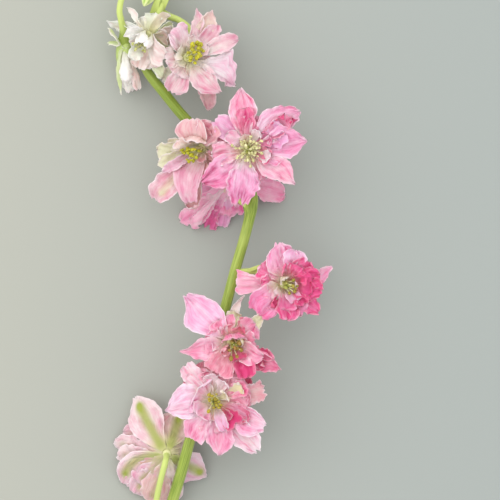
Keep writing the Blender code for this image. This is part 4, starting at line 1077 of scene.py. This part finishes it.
def ring_petals(bloom, ring):
    """The petals of a whorl, each with the way it leans out."""
    axis, first, second = ring_frame(bloom.face)
    found = []
    for k in range(ring.count):
        turn = math.radians(ring.turn + 360 * k / ring.count + 10 * scatter(ring.seed, k))
        lift = math.radians(ring.lift + 6 * scatter(ring.seed, k + 20))
        length = ring.length * (1 + 0.12 * scatter(ring.seed, k + 40))
        out = leaning(first, second, turn)
        tip = length * leaning(out, axis, lift)
        look = ring.look._replace(x=tip[0], y=tip[1], z=tip[2], width=ring.width)
        found.append((look, out))
    return found


def outward(petal, axis):
    """The way from the bloom's axis to a petal's tip."""
    tip = np.array((petal.x, petal.y, petal.z))
    return unit(tip - axis * (tip @ axis))


def make_petals(name, bloom):
    """All the petals of a bloom as one piece."""
    petals = [(petal, outward(petal, unit(bloom.face))) for petal in bloom.petals]
    for ring in bloom.rings:
        petals += ring_petals(bloom, ring)
    skins = []
    for k, (petal, out) in enumerate(petals):
        seed = 1.0 + SEED_STEP * k + abs(bloom.heart[0])
        skins.append(petal_skin(bloom, petal, out, seed))
    material = petal_material(name + "_petal", bloom.palette)
    make_piece(name + "_blades", merged(skins), material, name + "_petals")


# Tubes and turned pieces


def cap(index, size, flip):
    """Triangles from a ring of points to one point in its middle."""
    after = np.roll(index, -1)
    middle = np.full_like(index, size)
    corners = [index, after, middle] if flip else [after, index, middle]
    return np.stack(corners, axis=-1)


def tube_skin(route, radii, sides, around=None):
    """A round closed tube along a route, its rings turned as little as possible.

    around is the share by which the radius changes with the angle, one value for each side.
    """
    route = np.asarray(route, float)
    tangents = units(np.gradient(route, axis=0))
    lift = np.zeros_like(route)
    lift[0] = unit(np.array((0.1, 0.2, 1.0)) - tangents[0] * (tangents[0] @ (0.1, 0.2, 1.0)))
    for k in range(1, len(route)):
        lift[k] = unit(lift[k - 1] - tangents[k] * (tangents[k] @ lift[k - 1]))
    side = np.cross(tangents, lift)
    angle = (np.arange(sides) + 0.5) * 2 * math.pi / sides
    share = np.ones(sides) if around is None else 1 + around
    spread = (np.asarray(radii)[:, None] * share)[..., None]
    sideways = np.sin(angle)[None, :, None] * side[:, None, :]
    upward = np.cos(angle)[None, :, None] * lift[:, None, :]
    return ring_skin(route[:, None, :] + spread * (sideways + upward), radii)


def ring_skin(rings, radii):
    """A closed skin over rings of equally many points, with a fan at each end.

    Its blade value holds the angle round the axis, the length along it, and the radius.
    """
    count, sides = rings.shape[:2]
    size = count * sides
    middles = rings.mean(axis=1)
    steps = np.linalg.norm(np.diff(middles, axis=0), axis=1)
    along = np.concatenate([[0], np.cumsum(steps)])
    index = np.arange(size).reshape(count, sides)
    after = np.roll(index, -1, axis=1)
    quads = np.stack([index[:-1], after[:-1], after[1:], index[1:]], axis=-1).reshape(-1, 4)
    triangles = np.concatenate([cap(index[0], size, False), cap(index[-1], size + 1, True)])
    points = np.concatenate([rings.reshape(-1, 3), middles[:1], middles[-1:]])
    angle = np.tile(np.arange(sides) / sides, (count, 1))
    lengths = along[:, None] + 0 * angle
    blade = np.stack([angle, lengths, np.asarray(radii)[:, None] + 0 * angle], axis=-1)
    ends = [[0, 0, 0], [0, along[-1], 0]]
    return Skin(points, quads, triangles, {"blade": np.concatenate([blade.reshape(-1, 3), ends])})


def turned_skin(centre, axis, profile, sides, lobes=0.0, count=5):
    """A turned piece: rings of the profile's height and radius along an axis, maybe lobed."""
    axis, first, second = ring_frame(axis)
    profile = np.asarray(profile, float)
    angle = np.arange(sides) * 2 * math.pi / sides
    share = 1 + lobes * np.cos(count * angle)
    circle = np.outer(np.cos(angle) * share, first) + np.outer(np.sin(angle) * share, second)
    rings = np.array(centre) + profile[:, :1, None] * axis + profile[:, 1:, None] * circle[None]
    return ring_skin(rings, profile[:, 1])


def stem_skin():
    """The main stem: a tube ribbed by two cosines, whose cut end lies on a small flat side."""
    stations = np.array(STEM_ROUTE)
    route = np.vstack([stations[0], smooth_route(stations[1:], 12)])
    sides = 40
    angle = (np.arange(sides) + 0.5) * 2 * math.pi / sides
    ribs = 0.018 * np.cos(8 * angle) + 0.012 * np.cos(5 * angle + 1.0)
    skin = tube_skin(route[:, :3], route[:, 3], sides, ribs)
    skin.points[:, 2] = np.maximum(skin.points[:, 2], 0.0)
    return skin


def stalk_skin(name, bloom):
    """A bloom's stalk, which swells by (1 - t)^8 at the stem and by t^9 into the heart's cup."""
    axis = unit(bloom.face)
    depth = 0.6 if name == "bloom_1" else -0.6
    end = np.array(bloom.heart) + axis * CORE_HALF * depth
    route = smooth_route([*STALKS[name], tuple(end)], 10)
    t = np.linspace(0, 1, len(route))
    cup = OTHER_CUPS.get(name, CUP_RADIUS)
    radii = STALK_RADIUS + 0.7 * (1 - t) ** 8 + (cup - STALK_RADIUS) * t**9
    return tube_skin(route, radii, 20)


def bud_stalk_skin(bud):
    """The thin stalk of a closed bud, which swells by (1 - t)^4 and t^8 at its ends."""
    base, way, _, _, points = bud
    route = smooth_route([*points, tuple(np.array(base) + unit(way) * 0.4)], 8)
    t = np.linspace(0, 1, len(route))
    return tube_skin(route, BUD_STALK_RADIUS + 0.25 * (1 - t) ** 4 + 0.3 * t**8, 14)


def bract_skin(base, tip, width):
    """A narrow pointed blade, folded along its middle, that arches from the stem.

    Its width falls as the square root of 1 - t, and the arch rises as t (1 - t).
    """
    base, tip = np.array(base), np.array(tip)
    along = unit(tip - base)
    side = unit(np.cross(along, (0, 0, 1)))
    normal = np.cross(side, along)
    t = np.linspace(-0.3, 1, 14)[:, None, None]
    angle = (np.arange(10) * 2 * math.pi / 10)[None, :, None]
    half = width / 2 * np.sqrt(np.clip(1 - t, 0.012, 1)) * (0.75 + 0.5 * np.clip(t, 0, 1))
    centre = base + (tip - base) * t + normal * 1.2 * t * (1 - t)
    fold = 0.35 * half * np.abs(np.cos(angle))
    rings = centre + side * half * np.cos(angle) + normal * (fold + 0.22 * half * np.sin(angle))
    return ring_skin(rings, half[:, 0, 0])


def make_stem():
    """The stem with its stalks and bracts, as one piece."""
    skins = [stem_skin()]
    skins += [stalk_skin(name, bloom) for name, bloom in BLOOMS.items()]
    skins += [bud_stalk_skin(bud) for bud in BUDS.values()]
    skins += [bract_skin(*bract) for bract in BRACTS]
    make_piece("stem_and_stalks", merged(skins), stem_material(), "flower_stem")


def make_bud(name, bud):
    """A closed bud: its radius a blunt power of a sine, with five shallow furrows."""
    base, way, length, radius, _ = bud
    t = np.linspace(0, 1, 22)
    shape = np.sin(math.pi * np.clip(t, 0, 1) ** 0.75) ** 0.75 * (1 - 0.25 * t) + 0.06
    profile = np.stack([t * length, radius * shape], axis=-1)
    skin = turned_skin(base, way, profile, 30, 0.07)
    make_piece("closed_" + name, skin, bud_material(), name)


def stamen_skins(bloom, seed):
    """Threads that fan out round the axis, each with a two-lobed anther at its end.

    Thread k stands k golden angles round, and leans by the square root of its share of them all.
    """
    axis, first, second = ring_frame(bloom.face)
    seat = np.array(bloom.heart) + axis * CORE_HALF
    skins = []
    for k in range(bloom.stamens):
        share = math.sqrt((k + 0.5) / bloom.stamens) * (1 + 0.3 * scatter(seed, k + 11))
        turn = k * GOLDEN_ANGLE + 0.9 * scatter(seed, k)
        lean = math.radians(bloom.spread * share)
        out = leaning(first, second, turn)
        away = unit(leaning(axis, out, lean) + np.array(bloom.lean))
        length = STAMEN_LENGTH * (1 + 0.28 * scatter(seed, k + 60))
        foot = seat + out * 1.2 * share
        bend = foot + away * length * 0.5 - out * 0.35 + second * 0.5 * scatter(seed, k + 75)
        tip = foot + away * length
        route = smooth_route([foot, bend, tip], 4)
        thread = tube_skin(route, np.linspace(*THREAD_RADII, len(route)), 6)
        skins.append(with_part(thread, 0.0))
        tilt = unit(0.6 * away + out * scatter(seed, k + 90) + second * scatter(seed, k + 30))
        size = bloom.grain * (1 + 0.2 * scatter(seed, k + 45))
        t = np.linspace(0, 1, 8)
        radii = 0.5 * np.sin(math.pi * t) ** 0.6 + 0.03
        profile = size * np.stack([1.7 * (t - 0.35), radii], axis=-1)
        part = 1.3 + 0.3 * scatter(seed, k + 5)
        skins.append(with_part(turned_skin(tip, tilt, profile, 8, 0.2, 2), part))
    return skins


def with_part(skin, part):
    """The same skin, its third blade value set to say which part it is."""
    skin.values["blade"][:, 2] = part
    return skin


def make_stamens(name, bloom, seed):
    """The bloom's centre: a cream disc, three green carpels, and its stamens."""
    axis, first, second = ring_frame(bloom.face)
    heart = np.array(bloom.heart)
    disc = [(-0.9, 1.2), (0.2, 1.8), (0.9, 1.6), (1.3, 0.9), (1.4, 0.1)]
    skins = [with_part(turned_skin(heart, axis, disc, 20), 0.25)]
    for k in range(CARPELS):
        out = leaning(first, second, CARPEL_TURN * k)
        t = np.linspace(0, 1, 10)
        radii = 0.75 * np.sin(math.pi * (0.15 + 0.8 * t)) ** 1.2 + 0.04
        profile = np.stack([CARPEL_LENGTH * t, radii], axis=-1)
        foot = heart + axis + out * 0.6
        skins.append(with_part(turned_skin(foot, unit(axis + 0.12 * out), profile, 10), 0.5))
    skins += stamen_skins(bloom, seed)
    material = stamen_material(name + "_stamen", bloom.anther)
    make_piece(name + "_centre", merged(skins), material, name + "_stamens")


# Materials


def put(tree, kind, inputs=None, **settings):
    """Adds a node, sets its settings, and links or sets its inputs by name or number."""
    node = tree.nodes.new("ShaderNode" + kind)
    for key, value in settings.items():
        setattr(node, key, value)
    for key, value in (inputs or {}).items():
        if isinstance(value, bpy.types.NodeSocket):
            tree.links.new(value, node.inputs[key])
        else:
            node.inputs[key].default_value = value
    return node


def calc(tree, operation, *values, clamp=False):
    """A Math node's result."""
    inputs = dict(enumerate(values))
    return put(tree, "Math", inputs, operation=operation, use_clamp=clamp).outputs[0]


def times(tree, first, second, clamp=False):
    """The product of two values."""
    return calc(tree, "MULTIPLY", first, second, clamp=clamp)


def stretched(tree, vector, shares):
    """A vector whose three numbers are each multiplied."""
    return put(tree, "VectorMath", {0: vector, 1: shares}, operation="MULTIPLY").outputs[0]


def noise(tree, vector, scale, detail):
    """A noise texture's value."""
    inputs = {"Vector": vector, "Scale": scale, "Detail": detail}
    return put(tree, "TexNoise", inputs).outputs["Fac"]


def blended(tree, share, first, second):
    """Two colours mixed by a share."""
    inputs = {0: share, 6: first, 7: second}
    return put(tree, "Mix", inputs, data_type="RGBA", clamp_factor=True).outputs[2]


def stepped(tree, value, low, high, start=0.0, end=1.0):
    """A value eased from start at low to end at high."""
    inputs = {0: value, 1: low, 2: high, 3: start, 4: end}
    return put(tree, "MapRange", inputs, interpolation_type="SMOOTHSTEP").outputs[0]


def new_group(name, inputs, outputs):
    """A shader node group with named inputs and outputs, each given as its kind of socket."""
    tree = bpy.data.node_groups.new(name, "ShaderNodeTree")
    for key, kind in inputs.items():
        tree.interface.new_socket(key, in_out="INPUT", socket_type="NodeSocket" + kind)
    for key, kind in outputs.items():
        tree.interface.new_socket(key, in_out="OUTPUT", socket_type="NodeSocket" + kind)
    return tree, tree.nodes.new("NodeGroupInput").outputs, tree.nodes.new("NodeGroupOutput").inputs


def parts_of(tree, name):
    """The three numbers of a vector attribute."""
    vector = put(tree, "Attribute", attribute_name=name).outputs["Vector"]
    return put(tree, "SeparateXYZ", {0: vector}).outputs, vector


def petal_tones():
    """The node group that turns a petal's values into its colour and relief.

    Depth, with veins and mottling added, runs from pale through pink to deep. Warm tints it to
    peach or lavender, and rims, cream base and green parts are laid over it in turn.
    """
    colours = ("Pale", "Pink", "Deep", "Rim", "Cream", "Green")
    inputs = {**dict.fromkeys(colours, "Color"), "Veins": "Float"}
    tree, given, result = new_group("petal_tones", inputs, {"Color": "Color", "Height": "Float"})
    blade, place = parts_of(tree, "blade")
    tones, _ = parts_of(tree, "tones")
    marks, _ = parts_of(tree, "marks")
    drift = noise(tree, stretched(tree, place, (2.4, 2.0, 1.0)), 1.0, 2.0)
    phase = calc(tree, "ADD", times(tree, blade[0], 21.0), times(tree, drift, 7.0))
    line = calc(tree, "ABSOLUTE", calc(tree, "SINE", phase))
    vein = stepped(tree, line, 0.0, 0.42, 1.0, 0.0)
    grain = noise(tree, stretched(tree, place, (9.0, 5.0, 1.0)), 1.6, 3.0)
    mottle = times(tree, calc(tree, "SUBTRACT", grain, 0.5), 0.34)
    depth = calc(tree, "ADD", tones[0], mottle)
    depth = calc(tree, "ADD", depth, times(tree, vein, given["Veins"]))
    twice = times(tree, depth, 2.0)
    colour = blended(tree, calc(tree, "ADD", twice, 0.0, clamp=True), given["Pale"], given["Pink"])
    colour = blended(tree, calc(tree, "SUBTRACT", twice, 1.0, clamp=True), colour, given["Deep"])
    peach = times(tree, marks[1], 0.42, clamp=True)
    lavender = times(tree, marks[1], -0.42, clamp=True)
    colour = blended(tree, peach, colour, shade(232, 170, 150))
    colour = blended(tree, lavender, colour, shade(232, 190, 240))
    colour = blended(tree, times(tree, tones[1], 0.95), colour, given["Rim"])
    colour = blended(tree, tones[2], colour, given["Cream"])
    inside = stepped(tree, tones[1], 0.0, 0.6, 1.0, 0.35)
    colour = blended(tree, times(tree, marks[2], inside), colour, given["Green"])
    colour = blended(tree, marks[0], colour, given["Green"])
    tree.links.new(colour, result["Color"])
    relief = calc(tree, "SUBTRACT", grain, times(tree, vein, 0.7))
    tree.links.new(relief, result["Height"])
    return tree


def new_material(name):
    """An empty node material, with its tree and output node."""
    material = bpy.data.materials.new(name)
    material.use_nodes = True
    tree = material.node_tree
    tree.nodes.clear()
    return material, tree, put(tree, "OutputMaterial")


def cover(tree, output, colour, height, roughness, shine, sheen=0.0, strength=0.5):
    """Gives a material a plain surface with a fine relief."""
    bump = put(tree, "Bump", {"Height": height, "Strength": strength, "Distance": RELIEF})
    surface = put(tree, "BsdfPrincipled", {
        "Base Color": colour, "Roughness": roughness, "Specular IOR Level": shine,
        "Sheen Weight": sheen, "Normal": bump.outputs[0],
    })
    tree.links.new(surface.outputs[0], output.inputs["Surface"])


def petal_material(name, palette):
    """A thin petal: veined, satin, a little of the light behind it shining through."""
    material, tree, output = new_material(name)
    tones = tree.nodes.new("ShaderNodeGroup")
    tones.node_tree = bpy.data.node_groups.get("petal_tones") or petal_tones()
    for key, colour in palette._asdict().items():
        tones.inputs[key.capitalize()].default_value = colour
    tones.inputs["Veins"].default_value = 0.2
    height = tones.outputs["Height"]
    bump = put(tree, "Bump", {"Height": height, "Strength": 0.5, "Distance": RELIEF})
    petal = put(tree, "BsdfPrincipled", {
        "Base Color": tones.outputs["Color"], "Roughness": 0.55, "Specular IOR Level": 0.3,
        "Sheen Weight": 0.35, "Sheen Roughness": 0.35, "Sheen Tint": (1.0, 0.95, 1.0, 1.0),
        "Normal": bump.outputs[0],
    })
    through = put(tree, "BsdfTranslucent", {0: tones.outputs["Color"]})
    mix = put(tree, "MixShader", {0: 0.35, 1: petal.outputs[0], 2: through.outputs[0]})
    tree.links.new(mix.outputs[0], output.inputs["Surface"])
    return material


def stem_material():
    """Fresh green stem in long streaks, darker towards its tip, with paler stalks and cut end."""
    material, tree, output = new_material("fresh_stem")
    blade, place = parts_of(tree, "blade")
    streak = noise(tree, stretched(tree, place, (26.0, 0.10, 1.0)), 1.0, 3.0)
    where = put(tree, "TexCoord").outputs["Object"]
    patch = noise(tree, where, 60.0, 2.0)
    grain = noise(tree, where, 2500.0, 2.0)
    share = stepped(tree, streak, 0.35, 0.65)
    colour = blended(tree, share, shade(114, 136, 38), shade(152, 170, 68))
    colour = blended(tree, stepped(tree, patch, 0.4, 0.7, 0.0, 0.5), colour, shade(180, 192, 98))
    along = put(tree, "SeparateXYZ", {0: where}).outputs[1]
    colour = blended(tree, stepped(tree, along, 0.15, 0.17, 0.0, 0.5), colour, shade(112, 132, 30))
    stalk = stepped(tree, blade[2], 1.2, 1.75, 1.0, 0.0)
    colour = blended(tree, stalk, colour, shade(190, 204, 112))
    cut = stepped(tree, blade[2], 0.0, 0.6, 1.0, 0.0)
    colour = blended(tree, times(tree, cut, 0.7), colour, shade(214, 220, 150))
    height = calc(tree, "ADD", streak, times(tree, grain, 0.5))
    cover(tree, output, colour, height, 0.5, 0.4, sheen=0.2, strength=0.4)
    return material


def bud_material():
    """A closed bud: pale green, paler in patches and greener in its furrows."""
    found = bpy.data.materials.get("closed_bud")
    if found:
        return found
    material, tree, output = new_material("closed_bud")
    blade, _ = parts_of(tree, "blade")
    where = put(tree, "TexCoord").outputs["Object"]
    patch = noise(tree, where, 500.0, 3.0)
    furrow = calc(tree, "COSINE", times(tree, blade[0], 10 * math.pi))
    share = stepped(tree, furrow, -1.0, 0.6)
    colour = blended(tree, share, shade(150, 180, 80), shade(206, 218, 140))
    colour = blended(tree, stepped(tree, patch, 0.4, 0.7, 0.0, 0.5), colour, shade(232, 226, 190))
    cover(tree, output, colour, patch, 0.6, 0.3, sheen=0.3)
    return material


def stamen_material(name, anther):
    """Pale threads and carpels under grainy anthers, told apart by the blade's third value."""
    material, tree, output = new_material(name)
    blade, _ = parts_of(tree, "blade")
    where = put(tree, "TexCoord").outputs["Object"]
    grain = noise(tree, where, 1800.0, 3.0)
    part = blade[2]
    carpel = stepped(tree, part, 0.1, 0.5)
    head = stepped(tree, part, 0.6, 0.9)
    aged = stepped(tree, part, 1.0, 1.6, 0.0, 0.45)
    colour = blended(tree, carpel, shade(226, 224, 176), shade(172, 176, 92))
    colour = blended(tree, head, colour, anther)
    colour = blended(tree, aged, colour, shade(128, 132, 40))
    dark = times(tree, stepped(tree, grain, 0.35, 0.55, 0.45, 0.0), head)
    colour = blended(tree, dark, colour, shade(110, 96, 20))
    cover(tree, output, colour, grain, 0.6, 0.3, strength=0.6)
    return material


def floor_material():
    """A plain pale grey surface, lighter and warmer on its left and darker on its right: a painted
    falloff of light across it.
    """
    material, tree, output = new_material("pale_floor")
    where = put(tree, "SeparateXYZ", {0: put(tree, "TexCoord").outputs["Object"]}).outputs
    # Painted light falloff: the floor's colour runs from lighter and warmer on the left to darker
    # on the right.
    share = stepped(tree, where[0], -0.25, 0.15)
    colour = blended(tree, share, shade(176, 173, 158), shade(154, 159, 155))
    floor = put(tree, "BsdfPrincipled", {
        "Base Color": colour, "Roughness": 0.9, "Specular IOR Level": 0.0,
    })
    tree.links.new(floor.outputs[0], output.inputs["Surface"])
    return material


# The scene


def make_floor():
    """A wide flat floor at the height where the flower lies."""
    signs = ((-1, -1), (1, -1), (1, 1), (-1, 1))
    corners = [(x * FLOOR_HALF, y * FLOOR_HALF, 0) for x, y in signs]
    mesh = bpy.data.meshes.new("floor")
    mesh.from_pydata(corners, [], [(0, 1, 2, 3)])
    mesh.materials.append(floor_material())
    floor = bpy.data.objects.new("floor", mesh)
    bpy.context.scene.collection.objects.link(floor)


def make_camera():
    """Looks straight down, with +Y up the picture, from far off through a long lens."""
    data = bpy.data.cameras.new("camera")
    data.sensor_width = SENSOR
    data.lens = SENSOR * (CAMERA_HEIGHT - VIEW_LEVEL) / VIEW_SIDE
    data.clip_start, data.clip_end = 0.1, 20.0
    camera = bpy.data.objects.new("camera", data)
    camera.location = Vector((*VIEW_MIDDLE, CAMERA_HEIGHT)) * MM
    bpy.context.scene.collection.objects.link(camera)
    bpy.context.scene.camera = camera


def make_light(name, place, size, power, colour):
    """A large soft square light that faces the middle of the flower."""
    data = bpy.data.lights.new(name, "AREA")
    data.size, data.energy, data.color = size, power, colour
    light = bpy.data.objects.new(name, data)
    light.location = place
    aim = Vector((*VIEW_MIDDLE, VIEW_LEVEL)) * MM - light.location
    light.rotation_euler = aim.to_track_quat("-Z", "Y").to_euler()
    light.visible_camera = False
    bpy.context.scene.collection.objects.link(light)


def make_lights():
    """A broad light from the upper left over an even pale surround."""
    make_light("window", WINDOW_PLACE, WINDOW_SIZE, WINDOW_POWER, (1.0, 0.985, 0.96))
    world = bpy.data.worlds.new("surround")
    world.use_nodes = True
    background = world.node_tree.nodes["Background"]
    background.inputs["Color"].default_value = (0.96, 0.98, 1.0, 1.0)
    background.inputs["Strength"].default_value = SURROUND_STRENGTH
    bpy.context.scene.world = world
    bpy.context.scene.view_settings.view_transform = "Standard"


def make_flower():
    """Every piece of the flower, each in place of its CAD node."""
    make_stem()
    for k, (name, bloom) in enumerate(BLOOMS.items()):
        make_petals(name, bloom)
        if bloom.stamens:
            make_stamens(name, bloom, k + 3)
    for name, bud in BUDS.items():
        make_bud(name, bud)


make_camera()
make_flower()
make_floor()
make_lights()
